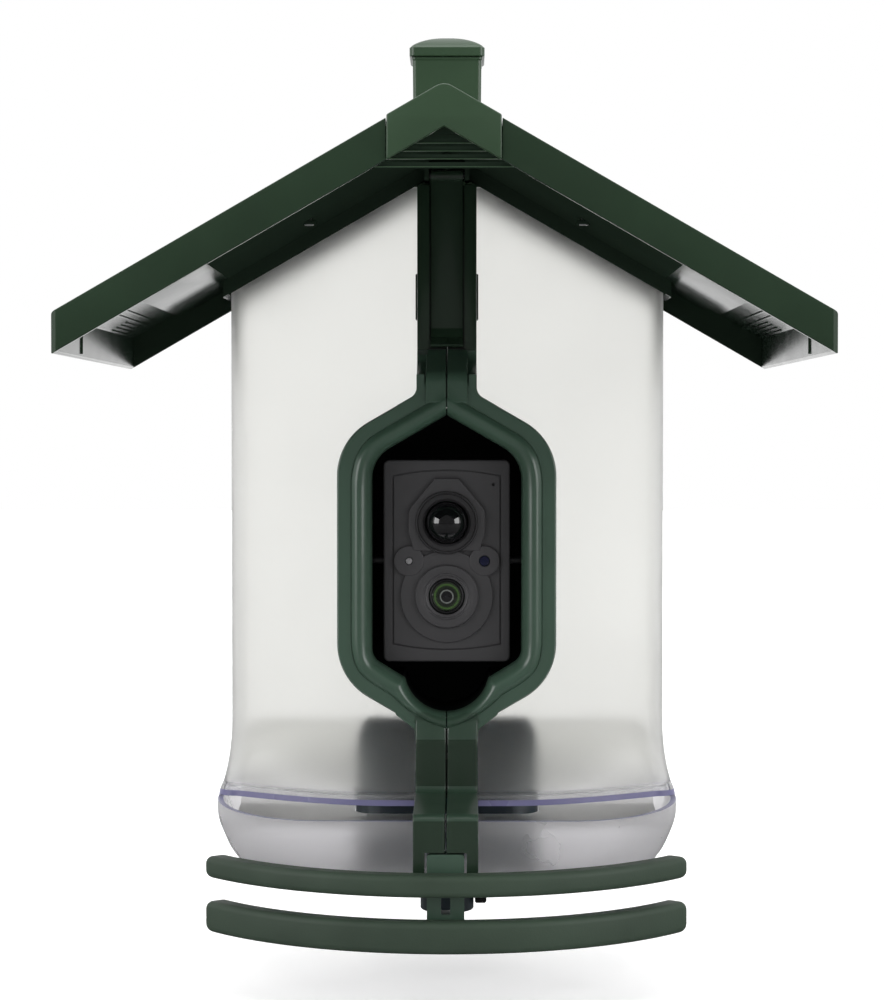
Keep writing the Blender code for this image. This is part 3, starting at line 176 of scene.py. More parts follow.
def turned(name, profile, centre, axis, material=None, sides=72, closed=False, angle=30.0):
    # profile of (radius, height) points, turned about the axis through centre
    work = bmesh.new()
    columns = []
    for k in range(sides):
        turn = 2.0 * math.pi * k / sides
        columns.append([None if r <= 0.0 else work.verts.new((r * math.cos(turn), r * math.sin(turn), h))
                        for r, h in profile])
    tips = {i: work.verts.new((0.0, 0.0, h)) for i, (r, h) in enumerate(profile) if r <= 0.0}
    pairs = list(zip(range(len(profile)), range(1, len(profile))))
    if closed:
        pairs.append((len(profile) - 1, 0))
    for k in range(sides):
        here, following = columns[k], columns[(k + 1) % sides]
        for i, j in pairs:
            corners = []
            for corner in (here[i] or tips.get(i), here[j] or tips.get(j),
                           following[j] or tips.get(j), following[i] or tips.get(i)):
                if corner is not None and corner not in corners:
                    corners.append(corner)
            if len(corners) > 2:
                work.faces.new(corners)
    place = Matrix.Translation(centre) @ Vector((0.0, 0.0, 1.0)).rotation_difference(
        Vector(axis)).to_matrix().to_4x4()
    bmesh.ops.transform(work, matrix=place, verts=work.verts)
    return addObject(name, finishMesh(work, name, angle), material)


def seat(thing, nodes, body):
    # a finished piece takes the place of its CAD nodes and rides on their body
    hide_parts(*([nodes] if isinstance(nodes, str) else nodes))
    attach(thing, body)


def addFinish(thing, *keys):
    for key in keys:
        thing.data.materials.append(finishes[key])


def between(side, near, far):
    return sorted((side * near, side * far))


def flip(points, side):
    return [(side * x, z) for x, z in points]


def cadCorners(node):
    low, high = (Vector(corner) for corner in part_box(node))
    return low, high, (low + high) / 2.0


planes = {
    "XZ": Matrix(((1, 0, 0, 0), (0, 0, -1, 0), (0, 1, 0, 0), (0, 0, 0, 1))),
    "YZ": Matrix(((0, 0, 1, 0), (1, 0, 0, 0), (0, 1, 0, 0), (0, 0, 0, 1))),
    "XY": Matrix.Identity(4),
}
lifts = {"XZ": Vector((0, 1, 0)), "YZ": Vector((1, 0, 0)), "XY": Vector((0, 0, 1))}


def plate(name, outlines, plane, low, high, material=None, bevel=0.0, bevelSteps=2, angle=35.0):
    # a flat outline, with any holes, given thickness along the third axis
    curve = bpy.data.curves.new(name, "CURVE")
    curve.dimensions = "2D"
    curve.fill_mode = "BOTH"
    curve.extrude = (high - low) / 2.0
    for outline in outlines:
        spline = curve.splines.new("POLY")
        spline.points.add(len(outline) - 1)
        spline.use_cyclic_u = True
        for point, (a, b) in zip(spline.points, outline):
            point.co = (a, b, 0.0, 1.0)
    guide = addObject(name + "Guide", curve)
    mesh = builtMesh(guide)
    bpy.data.objects.remove(guide, do_unlink=True)
    work = bmesh.new()
    work.from_mesh(mesh)
    bpy.data.meshes.remove(mesh)
    bmesh.ops.remove_doubles(work, verts=work.verts, dist=0.000002)
    bmesh.ops.dissolve_limit(work, angle_limit=0.001, verts=work.verts, edges=work.edges)
    matrix = Matrix.Translation(lifts[plane] * ((low + high) / 2.0)) @ planes[plane]
    bmesh.ops.transform(work, matrix=matrix, verts=work.verts)
    thing = addObject(name, finishMesh(work, name, angle), material)
    if bevel > 0.0:
        soften(thing, bevel, bevelSteps)
        settle(thing, angle)
    return thing


def soften(thing, width, steps=2, angle=40.0):
    edge = thing.modifiers.new("edge", "BEVEL")
    edge.width = width
    edge.segments = steps
    edge.limit_method = "ANGLE"
    edge.angle_limit = math.radians(angle)


def combine(thing, operation, *tools):
    for tool in tools:
        step = thing.modifiers.new("step", "BOOLEAN")
        step.operation = operation
        step.solver = "EXACT"
        step.object = tool
        tool.hide_render = True


def cut(thing, *tools):
    combine(thing, "DIFFERENCE", *tools)


def join(thing, *tools):
    combine(thing, "UNION", *tools)


def arc(centre, radius, start, end, steps):
    turns = [start + (end - start) * i / steps for i in range(steps + 1)]
    return [(centre[0] + radius * math.cos(t), centre[1] + radius * math.sin(t)) for t in turns]


def roundCorners(corners, steps=8):
    points = []
    count = len(corners)
    for i, (x, y, radius) in enumerate(corners):
        here = Vector((x, y))
        if radius <= 0.0:
            points.append((x, y))
            continue
        before = (Vector(corners[i - 1][:2]) - here).normalized()
        after = (Vector(corners[(i + 1) % count][:2]) - here).normalized()
        half = before.angle(after) / 2.0
        middle = here + (before + after).normalized() * (radius / math.sin(half))
        first, last = here + before * radius / math.tan(half), here + after * radius / math.tan(half)
        a, b = first - middle, last - middle
        turn = math.atan2(a.cross(b), a.dot(b))
        points += arc(middle, radius, math.atan2(a.y, a.x), math.atan2(a.y, a.x) + turn, steps)
    return points


def roundBox(halfX, halfY, radius, centre=(0.0, 0.0), steps=8):
    x, y = centre
    return roundCorners([(x + halfX, y + halfY, radius), (x - halfX, y + halfY, radius),
                         (x - halfX, y - halfY, radius), (x + halfX, y - halfY, radius)], steps)


def mirrored(half):
    return half + [(-x, y) for x, y in reversed(half) if x > 0.0]


def spread(points, count):
    lengths = [0.0]
    for a, b in zip(points, points[1:]):
        lengths.append(lengths[-1] + (Vector(b) - Vector(a)).length)
    result = []
    k = 0
    for i in range(count):
        want = lengths[-1] * i / (count - 1)
        while k < len(points) - 2 and lengths[k + 1] < want:
            k += 1
        span = lengths[k + 1] - lengths[k]
        share = 0.0 if span == 0.0 else max(0.0, min(1.0, (want - lengths[k]) / span))
        result.append(tuple(Vector(points[k]).lerp(Vector(points[k + 1]), share)))
    return result


# The camera's sizes, which its lens finish shares

camera = {
    "height": 0.1400, "halfWidth": 0.02465, "halfHeight": 0.0393, "corner": 0.0022, "front": -0.0220,
    "back": -0.0126, "wall": 0.0020, "pivotBack": -0.0155, "pinBore": 0.0017, "panelHalf": 0.0211,
    "panelTop": 0.0334, "panelFoot": -0.0326, "panelBow": 0.0022, "groove": 0.0006, "grooveDepth": 0.0009,
    "humpTop": 0.0322, "humpTopHalf": 0.0046, "humpShoulder": 0.0198, "humpHalf": 0.0149,
    "humpWaist": 0.0110, "humpFoot": 0.0040, "humpFootHalf": 0.0128, "humpHeight": 0.0016,
    "discRadius": 0.0180, "discHeight": 0.0010, "windowOut": 0.0147, "windowRadius": 0.0059,
    "windowHeight": 0.0013, "pirHeight": 0.1550, "pirRadius": 0.0081, "lensHeight": 0.1262,
    "barrelRadius": 0.0068, "glassRadius": 0.0057, "lightRadius": 0.0012, "statusRadius": 0.0019,
    "windowDepth": 0.0026, "micOut": 0.0181, "micHeight": 0.1698, "micRadius": 0.00065,
    "boardFace": -0.0145, "clear": 0.0003,
}


# Finishes

class Wires:
    # adds nodes to a tree and links or fills their sockets
    def __init__(self, tree):
        self.tree = tree

    def add(self, kind, sockets=None, **settings):
        node = self.tree.nodes.new(kind)
        for key, value in settings.items():
            setattr(node, key, value)
        for socket, value in (sockets or {}).items():
            self.link(value, node.inputs[socket])
        return node.outputs

    def link(self, value, socket):
        if isinstance(value, bpy.types.NodeSocket):
            self.tree.links.new(value, socket)
        else:
            socket.default_value = value

    def reckon(self, operation, first, second):
        return self.add("ShaderNodeMath", {0: first, 1: second}, operation=operation)["Value"]

    def ramp(self, source, low, high, start=0.35, end=0.65):
        return self.add("ShaderNodeMapRange", {
            "Value": source, "From Min": start, "From Max": end, "To Min": low, "To Max": high})["Result"]

    def split(self, source):
        return self.add("ShaderNodeSeparateXYZ", {"Vector": source})

    def vector(self, **parts):
        return self.add("ShaderNodeCombineXYZ", parts)["Vector"]


class Paint(Wires):
    # one material round the shader that Blender gives it
    def __init__(self, name):
        self.material = bpy.data.materials.new(name)
        self.material.use_nodes = True
        Wires.__init__(self, self.material.node_tree)
        self.shader = self.tree.nodes["Principled BSDF"]
        self.place = self.add("ShaderNodeTexCoord")["Object"]

    def set(self, socket, value):
        self.link(value, self.shader.inputs[socket])

    def noise(self, scale, detail=2.0):
        return self.add("ShaderNodeTexNoise",
                        {"Vector": self.place, "Scale": scale, "Detail": detail})["Fac"]

    def blend(self, source, first, second):
        outputs = self.add("ShaderNodeMix", {"Factor": source}, data_type="RGBA")
        colours = [socket for socket in outputs[0].node.inputs if socket.type == "RGBA"]
        for socket, colour in zip(colours, (first, second)):
            socket.default_value = colour
        return [socket for socket in outputs if socket.type == "RGBA"][0]

    def bump(self, source, strength, distance):
        self.set("Normal", self.add("ShaderNodeBump", {
            "Height": source, "Strength": strength, "Distance": distance})["Normal"])


def mouldedPlastic(name, colour, roughness, grain=2600.0, grainDepth=0.12, vary=0.10, specular=0.5,
                   coat=0.0):
    paint = Paint(name)
    darker = tuple(c * (1.0 - vary) for c in colour[:3]) + (1.0,)
    lighter = tuple(min(1.0, c * (1.0 + vary)) for c in colour[:3]) + (1.0,)
    paint.set("Base Color", paint.blend(paint.ramp(paint.noise(26.0, 3.0), 0.0, 1.0), darker, lighter))
    paint.set("Roughness", paint.ramp(paint.noise(60.0, 4.0), roughness - 0.015, roughness + 0.02))
    paint.set("Specular IOR Level", specular)
    paint.set("Coat Weight", coat)
    paint.bump(paint.noise(grain), grainDepth, 0.00012)
    return paint.material


def lightPlastic(name, colour, roughness, transmission, grain=900.0, grainDepth=0.1, ior=1.46):
    paint = Paint(name)
    soft = tuple(c * 0.97 for c in colour[:3]) + (1.0,)
    paint.set("Base Color", paint.blend(paint.ramp(paint.noise(12.0, 3.0), 0.0, 1.0), colour, soft))
    paint.set("Transmission Weight", transmission)
    paint.set("IOR", ior)
    paint.set("Roughness", paint.ramp(paint.noise(40.0, 3.0), roughness - 0.03, roughness + 0.03))
    paint.bump(paint.noise(grain), grainDepth, 0.0001)
    return paint.material


# material, colour from 0 to 255, roughness and what differs from the usual
moulded = {
    "green": ("greenPlastic", (45, 67, 46), 0.36, {"grainDepth": 0.10, "vary": 0.08}),
    "soffit": ("smoothGreenPlastic", (34, 46, 38), 0.16, {"grainDepth": 0.0, "vary": 0.05}),
    "roofGreen": ("roofGreenPlastic", (31, 49, 33), 0.38, {"grainDepth": 0.10, "specular": 0.3}),
    "ringGreen": ("frameGreenPlastic", (56, 77, 64), 0.32,
                  {"grainDepth": 0.0, "vary": 0.06, "coat": 0.15}),
    # painted half shade: a darker copy of the frame's green, for the lower column's front
    "paintedHalfShadeGreen": ("kneeGreenPlastic", (44, 62, 50), 0.30,
                  {"grainDepth": 0.0, "vary": 0.06, "coat": 0.15}),
    # painted shade: a darker, glossier copy of the frame's green, for the column, lower part and tongue
    # in shade
    "paintedShadeSatin": ("satinGreenPlastic", (31, 46, 34), 0.24, {"grainDepth": 0.0, "vary": 0.05, "coat": 0.25}),
    # painted shade: a dark copy of the green without reflection, for faces in shade under the roof
    "shade": ("shadeGreenPlastic", (30, 40, 32), 0.6,
              {"grainDepth": 0.05, "vary": 0.05, "specular": 0.0}),
    "darkPin": ("darkPinSteel", (24, 23, 25), 0.32, {"grainDepth": 0.03, "vary": 0.05}),
    "deepGreen": ("deepGreenPlastic", (18, 36, 44), 0.45, {}),
    "plate": ("cameraPlastic", (55, 54, 56), 0.5, {"grain": 3200.0, "vary": 0.05}),
    "black": ("blackPlastic", (18, 18, 20), 0.35, {"grain": 3200.0, "grainDepth": 0.08, "vary": 0.08}),
    "pit": ("pocketBlack", (14, 15, 15), 0.7, {"grainDepth": 0.05, "vary": 0.05, "specular": 0.2}),
    "softBlack": ("softBlackPlastic", (37, 36, 38), 0.5,
                  {"grain": 3200.0, "grainDepth": 0.08, "vary": 0.05}),
    "rubber": ("softBlackRubber", (26, 26, 27), 0.75,
               {"grain": 2400.0, "grainDepth": 0.15, "vary": 0.08, "specular": 0.3}),
    "glass": ("darkGlass", (8, 8, 10), 0.05,
              {"grain": 200.0, "grainDepth": 0.0, "vary": 0.05, "specular": 0.6, "coat": 0.5}),
    "blueGlass": ("statusGlass", (14, 17, 40), 0.1, {"grain": 200.0, "grainDepth": 0.0, "vary": 0.05}),
    "window": ("lightWindow", (118, 117, 119), 0.35, {"grainDepth": 0.02, "vary": 0.03}),
    "white": ("whitePlastic", (196, 196, 198), 0.4, {"grainDepth": 0.05, "vary": 0.03}),
    "board": ("boardGreen", (18, 82, 44), 0.45, {}),
    "wrap": ("cellWrap", (34, 66, 122), 0.35, {}),
    "grainGreen": ("grainedGreenPlastic", (50, 64, 52), 0.55,
                   {"grain": 1500.0, "grainDepth": 0.35, "vary": 0.12, "specular": 0.3}),
}
# the same with the share of light that passes
clearer = {
    "frosted": ("frostedPlastic", (252, 252, 250), 0.42, 0.97, {}),
    "flange": ("clearFlangePlastic", (250, 250, 254), 0.18, 0.97,
               {"grain": 300.0, "grainDepth": 0.03, "ior": 1.3}),
    "clear": ("clearPlastic", (252, 251, 253), 0.30, 0.86, {"grain": 300.0, "grainDepth": 0.06}),
    "cutEdge": ("violetCutEdge", (112, 110, 148), 0.3, 0.1, {}),
}
finishes = {key: mouldedPlastic(name, linear(*colour), roughness, **more)
            for key, (name, colour, roughness, more) in moulded.items()}
finishes.update({key: lightPlastic(name, linear(*colour), roughness, through, **more)
                 for key, (name, colour, roughness, through, more) in clearer.items()})


def lensGlass():
    # colour rings painted around the lens axis, by distance from it: a light ring, and a green ring that
    # is a painted reflection of the lens coating
    paint = Paint("coatedLensGlass")
    parts = paint.split(paint.place)
    flat = paint.vector(X=parts["X"], Y=paint.reckon("SUBTRACT", parts["Z"], camera["lensHeight"]))
    length = paint.add("ShaderNodeVectorMath", {0: flat}, operation="LENGTH")["Value"]
    colour = paint.add("ShaderNodeValToRGB", {
        "Fac": paint.ramp(length, 0.0, 1.0, 0.0, camera["glassRadius"])})["Color"]
    stops = ((0.0, (30, 30, 34)), (0.16, (10, 10, 12)), (0.37, (12, 12, 14)), (0.41, (104, 107, 104)),
             (0.46, (90, 94, 90)), (0.50, (12, 14, 12)), (0.70, (20, 30, 16)), (0.82, (58, 84, 40)),
             (0.90, (30, 42, 24)), (1.0, (8, 9, 8)))
    elements = colour.node.color_ramp.elements
    while len(elements) < len(stops):
        elements.new(0.5)
    for element, (position, shade) in zip(elements, stops):
        element.position = position
        element.color = linear(*shade)
    paint.set("Base Color", colour)
    paint.set("Roughness", 0.05)
    paint.set("Coat Weight", 0.6)
    return paint.material


def steel():
    paint = Paint("screwSteel")
    paint.set("Metallic", 1.0)
    paint.set("Base Color", paint.blend(paint.noise(900.0), linear(150, 150, 154), linear(190, 190, 192)))
    paint.set("Roughness", paint.ramp(paint.noise(700.0, 3.0), 0.25, 0.4))
    paint.bump(paint.noise(1800.0), 0.08, 0.00005)
    return paint.material


finishes["steel"] = steel()
finishes["lens"] = lensGlass()

slotFinish = {
    "green_plastic": "green", "dark_green_plastic": "deepGreen", "frosted_plastic": "frosted",
    "clear_plastic": "clear", "dark_grey_plastic": "plate", "black_rubber": "rubber",
    "dark_glass": "glass", "steel": "steel", "circuit_board": "board", "cell_wrap": "wrap",
    "white_plastic": "white",
}
for part in frame["record"]["subparts"]:
    node = bpy.data.objects.get(part["node"])
    if node:
        node.data.materials.clear()
        node.data.materials.append(finishes[slotFinish[part["material_slot"]]])
print("finishes on the part's own nodes")

# Seed silo

silo = {
    "half": 0.0860, "front": -0.0050, "back": 0.0272, "corner": 0.0075, "wall": 0.0022,
    "flatTop": 0.2868, "line": 0.2965, "bulgeTop": 0.0770, "fold": 0.0510, "lip": 0.0470,
    "rim": 0.0022, "bulge": 0.0270, "flange": 0.0090, "flare": 0.0044, "frontSteps": 56, "bendSteps": 18,
    "levels": (None, 0.200, 0.130, 0.090), "gateFront": -0.062, "gateFoot": 0.040, "backFace": 0.026,
}


def siloRing(half, front, back, corner, bulge, height):
    # one level seen from above: bulged front, plain sides and back
    inner = half - corner
    quarter = math.pi / 2.0
    kink = (silo["line"] - silo["flatTop"]) / shared["slope"]
    steps = silo["frontSteps"]
    xs = sorted({inner * (1.0 - 2.0 * i / steps) for i in range(1, steps)} | {kink, -kink}, reverse=True)
    points = [(inner, front)]
    for x in xs:
        share = min(1.0, (inner - abs(x)) / (inner * 0.75))
        points.append((x, front - bulge * math.sin(quarter * share)))
    points += arc((-inner, front + corner), corner, -quarter, -2.0 * quarter, 8)
    points += arc((-inner, back - corner), corner, 2.0 * quarter, quarter, 8)
    points += [(x, back) for x in sorted({inner * i / 12.0 for i in range(-11, 12)} | {kink, -kink})]
    points += arc((inner, back - corner), corner, quarter, 0.0, 8)
    points += arc((inner, front + corner), corner, 0.0, -quarter, 8)[:-1]
    if height is None:
        return [(x, y, min(silo["flatTop"], silo["line"] - shared["slope"] * abs(x))) for x, y in points]
    return [(x, y, height) for x, y in points]


def siloProfile():
    # the front wall's middle line from the side: (how far out, height), down to the flange's edge
    tall = silo["bulgeTop"] - silo["fold"]
    points = []
    for k in range(silo["bendSteps"] + 1):
        t = k / silo["bendSteps"]
        points.append((silo["bulge"] * (0.85 * (0.5 - 0.5 * math.cos(math.pi * t)) + 0.15 * t * t),
                       silo["bulgeTop"] - tall * t))
    edge = silo["lip"] + silo["rim"]
    for t in (0.15, 0.3, 0.5, 0.7, 0.85, 0.95, 1.0):
        points.append((silo["bulge"] + silo["flange"] * t,
                       silo["fold"] - (silo["fold"] - edge) * (1.0 - math.cos(t * math.pi / 2.0))))
    return points


def siloShellRings():
    wall, corner = silo["wall"], silo["corner"]
    outline = siloProfile()
    outer = [siloRing(silo["half"], silo["front"], silo["back"], corner, 0.0, height)
             for height in (*silo["levels"], silo["bulgeTop"] + 0.0012)]
    inner = [siloRing(silo["half"] - wall, silo["front"] + wall, silo["back"] - wall, corner - wall, 0.0,
                      height) for height in silo["levels"]]
    for i, (out, height) in enumerate(outline):
        sink = max(0.0, (silo["bulgeTop"] - height) / (silo["bulgeTop"] - silo["lip"]))
        half = silo["half"] + silo["flare"] * min(1.0, sink * 1.03) ** 2.2
        over = max(0.0, out - silo["bulge"])
        outer.append(siloRing(half, silo["front"] - over, silo["back"], corner, min(out, silo["bulge"]),
                              height))
        before, after = outline[max(i - 1, 0)], outline[min(i + 1, len(outline) - 1)]
        run, fall = after[0] - before[0], before[1] - after[1]
        length = math.hypot(run, fall)
        inOut, inHeight = out - wall * fall / length, height - wall * run / length
        if inHeight < silo["lip"]:
            continue
        share = min(inOut + wall, silo["bulge"])
        inner.append(siloRing(half - wall, silo["front"] + wall - max(0.0, inOut + wall - silo["bulge"]),
                              silo["back"] - wall, corner - wall, max(0.0, share), inHeight))
    half, front = silo["half"] + silo["flare"], silo["front"] - silo["flange"]
    outer.append(siloRing(half, front, silo["back"], corner, silo["bulge"], silo["lip"]))
    inner.append(siloRing(half - wall, silo["front"] + wall, silo["back"] - wall, corner - wall,
                          silo["bulge"], silo["lip"]))
    return outer, inner


def trayRing(inset, height):
    half, front = tray["half"] - inset, tray["front"] + inset
    back = silo["back"] - inset * 0.3
    quarter = math.pi / 2.0
    reach, depth = tray["reach"] - inset * 0.5, tray["depth"] - inset * 0.6
    r = tray["backCorner"]
    steps = 28
    points = [(-half + reach + reach * math.cos(t), front + depth + depth * math.sin(t))
              for t in [-quarter - quarter * i / steps for i in range(steps + 1)]]
    points += arc((-half + r, back - r), r, 2.0 * quarter, quarter, 8)
    points += arc((half - r, back - r), r, quarter, 0.0, 8)
    points += [(half - reach + reach * math.cos(t), front + depth + depth * math.sin(t))
               for t in [-quarter * i / steps for i in range(steps + 1)]]
    return [(x, y, height) for x, y in points]


tray = {
    "half": 0.0904, "front": -0.0760, "rim": 0.0465, "bottom": 0.0150, "wall": 0.0022, "reach": 0.0440,
    "depth": 0.0690, "backCorner": 0.0080, "tuck": 0.0240, "holeHalf": 0.0363, "holeDeep": 0.0198,
    "holeCorner": 0.0143, "holeBack": -0.0025, "curve": ((0.0, 0.0), (0.21, 0.01), (0.43, 0.11),
                                                         (0.62, 0.23), (0.81, 0.44), (0.94, 0.74),
                                                         (1.0, 1.0)),
}


def easeCurve(points, count):
    # a smooth run through (down, inward) shares
    result = []
    for k in range(count + 1):
        position = (len(points) - 1) * k / count
        i = min(int(position), len(points) - 2)
        t = position - i
        before = points[max(i - 1, 0)]
        a, b = points[i], points[i + 1]
        after = points[min(i + 2, len(points) - 1)]
        result.append(tuple(
            0.5 * ((2 * a[n]) + (b[n] - before[n]) * t + (2 * before[n] - 5 * a[n] + 4 * b[n] - after[n])
                   * t * t + (3 * a[n] - before[n] - 3 * b[n] + after[n]) * t ** 3) for n in (0, 1)))
    return result


def thicken(thing, wall):
    shell = thing.modifiers.new("wall", "SOLIDIFY")
    shell.thickness = wall
    shell.offset = -1.0
    shell.use_even_offset = True


def makeSilo():
    outer, inner = siloShellRings()
    shell = loft("siloShell", outer + inner[::-1], finishes["frosted"], closed=True)
    wallBack = silo["front"] + silo["wall"] + past
    hole = plate("siloHole", [mirrored(pocketOutline(pocket["wall"] + shared["gap"]))], "XZ", -0.007,
                 wallBack)
    slot = frameShape["lowHalf"] + shared["gap"]
    gate = block("siloGate", (-slot, silo["gateFront"], silo["gateFoot"]),
                 (slot, wallBack, frameShape["stepHeight"]))
    cut(shell, hole, gate)
    settle(shell, 32.0)
    addFinish(shell, "cutEdge", "flange")
    for face in shell.data.polygons:
        front = face.center.y < silo["backFace"] or abs(face.center.x) > silo["half"]
        if abs(face.normal.z) < 0.3 and face.center.z < silo["lip"] + silo["rim"] and front:
            face.material_index = 1
        elif face.center.z < silo["fold"] and front:
            face.material_index = 2
    seat(shell, "silo", "root")


def makeTray():
    tall = tray["rim"] - tray["bottom"]
    shape = easeCurve(tray["curve"], 24)
    rings = [trayRing(tray["tuck"] * max(0.0, inward), tray["rim"] - tall * down) for down,
             inward in shape]
    shell = loft("trayShell", rings, finishes["clear"], False, True, 32.0)
    thicken(shell, tray["wall"])
    outline = roundBox(tray["holeHalf"], tray["holeDeep"], tray["holeCorner"], (0.0, tray["holeBack"]))
    hole = plate("trayHole", [outline], "XY", tray["bottom"] - 0.005, tray["bottom"] + 0.007)
    cut(shell, hole)
    settle(shell, 32.0)
    addFinish(shell, "cutEdge")
    for face in shell.data.polygons:
        if face.normal.z > 0.9 and face.center.z > tray["rim"] - 0.0006:
            face.material_index = 1
    seat(shell, "tray", "root")


# Front frame: column, ring, arm and leg

frameShape = {
    "back": -0.0053, "columnHalf": 0.0116, "columnFront": -0.0170, "top": 0.2868, "channelHalf": 0.0069,
    "channelDepth": 0.0056, "channelLow": 0.2226, "kneeHalf": 0.0080, "kneeTop": 0.2224,
    "kneeLow": 0.2110, "kneeFoot": 0.2045, "ringFront": -0.0320, "ringBack": -0.0220, "bead": 0.0018,
    "ringHalf": 0.04235, "apex": 0.2115, "corner": 0.0240, "lowCorner": 0.0946, "stepHeight": 0.0826,
    "stepHalf": 0.0216, "openHalf": 0.0290, "openApex": 0.1967, "openCorner": 0.0140, "openLow": 0.1025,
    "openLowRound": 0.0060, "lobe": 0.0165, "lobeHeight": 0.0980, "lowFront": -0.0350, "lowHalf": 0.0119,
    "lowBack": -0.0120, "footBack": -0.0240, "foot": 0.0440, "armTop": 0.0514, "armLow": 0.0470,
    "armFront": -0.0930, "leg": 0.0160, "legLow": 0.0232, "notchHalf": 0.0077, "notchTop": 0.0376,
    "padLow": 0.2340, "padTop": 0.2520, "padProud": 0.0007, "seam": 0.00022, "step": 0.00003,
    "aroundSteps": 150, "fillet": 0.0045, "apronFoot": 0.0742, "filletReach": 0.0075, "kneeBack": -0.012,
    "heel": 0.0540, "heelTop": 0.0720, "nickOut": -0.0112, "nickLow": 0.2204, "nickTop": 0.2220,
    "upperScrew": (0.2430, -0.0083), "lowerScrew": (0.0640, -0.0235),
    "screwBore": 0.0017, "screwHead": 0.0029, "screwSink": 0.0017,
}
pocket = {
    "front": -0.0217, "back": 0.0200, "wall": 0.0020, "half": 0.0290, "apex": 0.1975, "shoulder": 0.1855,
    "shoulderRound": 0.0080, "foot": 0.0950, "footRound": 0.0050,
}


def pocketOutline(grow=0.0):
    lobe = frameShape["lobe"] + 0.0005 + grow
    edge = arc((0.0, frameShape["lobeHeight"]), lobe, math.radians(-8.0), -math.pi / 2.0, 20)
    edge[-1] = (0.0, edge[-1][1])
    foot = pocket["foot"] - grow
    corners = [(0.0, pocket["apex"] + grow, 0.0), (pocket["half"] + grow, pocket["shoulder"] + grow,
                                                   pocket["shoulderRound"] + grow),
               (pocket["half"] + grow, foot, pocket["footRound"] + grow),
               (edge[0][0], foot - 0.0003, 0.0)]
    return roundCorners(corners, 10) + [point for point in edge if point[1] < foot - 0.0003]


def ringOuter():
    f = frameShape
    line = shared["slope"] * f["ringHalf"]
    return roundCorners([(0.0, f["apex"], 0.0), (f["ringHalf"], f["apex"] - line, f["corner"]),
                         (f["ringHalf"], f["lowCorner"], f["corner"]),
                         (f["stepHalf"], f["stepHeight"], 0.0),
                         (0.0, f["stepHeight"] - shared["slope"] * f["stepHalf"], 0.0)], 16)


def ringInner():
    f = frameShape
    line = shared["slope"] * f["openHalf"]
    edge = arc((0.0, f["lobeHeight"]), f["lobe"], math.radians(-12.0), -math.pi / 2.0, 24)
    corners = [(0.0, f["openApex"], 0.0), (f["openHalf"], f["openApex"] - line, f["openCorner"]),
               (f["openHalf"], f["openLow"], f["openLowRound"]), (edge[0][0], edge[0][1], 0.0)]
    return roundCorners(corners, 14)[:-1] + edge


def ringSection():
    # across the ring from its outer edge to the opening: (share, depth)
    f = frameShape
    front, back, rear = f["ringFront"], f["back"], f["ringBack"]
    points = [(0.0, back), (0.0, front + 0.0016), (0.012, front + 0.0007), (0.05, front)]
    points += [(0.40, front), (0.408, front + 0.0003), (0.420, front + 0.0003), (0.430, front)]
    for i in range(1, 9):
        t = i / 8.0
        points.append((0.430 + 0.200 * t, front - f["bead"] * math.sin(t * math.pi / 2.0)))
    for i in range(1, 13):
        t = i / 12.0
        drop = 1.0 - math.cos(t * math.pi / 2.0)
        points.append((0.63 + 0.37 * math.sin(t * math.pi / 2.0), front - f["bead"] + 0.0085 * drop))
    points += [(1.0, rear), (0.26, rear), (0.26, back)]
    return points


def columnOutline():
    f = frameShape
    front, rear, sill = f["ringFront"] + f["step"], f["ringBack"] - shared["gap"], f["openApex"] + 0.0041
    return roundCorners([
        (f["back"], f["top"], 0.0), (f["columnFront"], f["top"], 0.0),
        (f["columnFront"], f["kneeLow"] + 0.0075, 0.006), (front, f["kneeLow"] - 0.0010, 0.0055),
        (front, sill, 0.0), (rear, sill, 0.0), (rear, f["kneeFoot"], 0.0),
        (f["back"], f["kneeFoot"], 0.0)], 8)


def kneeOutline():
    f = frameShape
    front, sill = f["ringFront"] - f["bead"] * 0.8, f["openApex"] + 0.0048
    return roundCorners([
        (f["kneeBack"], f["kneeTop"], 0.0), (f["columnFront"] - 0.0012, f["kneeTop"], 0.0018),
        (f["columnFront"] - 0.0042, f["kneeTop"] - 0.0024, 0.0006),
        (f["ringFront"] - 0.0004, f["kneeLow"] + 0.0012, 0.0070),
        (front, f["kneeLow"] - 0.0090, 0.0030), (front, sill, 0.0),
        (f["ringBack"] - 0.0010, sill, 0.0), (f["kneeBack"], f["openApex"] + 0.0095, 0.0)], 8)


def armOutline(under, legBack):
    f = frameShape
    rear, clear = f["ringBack"] - shared["gap"], under - 0.0028
    return roundCorners([
        (f["lowBack"], clear, 0.0), (rear, clear, 0.0), (rear, under - 0.0010, 0.0),
        (f["ringFront"] + 4.0 * f["step"], under - 0.0010, 0.0),
        (f["ringFront"] - 0.0002, under - 0.0030, 0.0040),
        (f["lowFront"], f["apronFoot"] - 0.004, 0.0100), (f["lowFront"], f["armTop"], 0.0030),
        (f["armFront"], f["armTop"], 0.0028), (f["armFront"], f["legLow"], 0.0),
        (legBack, f["legLow"], 0.0), (legBack, f["armLow"], 0.0020), (f["lowFront"], f["armLow"], 0.0),
        (f["lowFront"], f["foot"], 0.0), (f["footBack"], f["foot"], 0.0), (f["footBack"], f["heel"], 0.0),
        (f["lowBack"], f["heelTop"], 0.0)], 8)


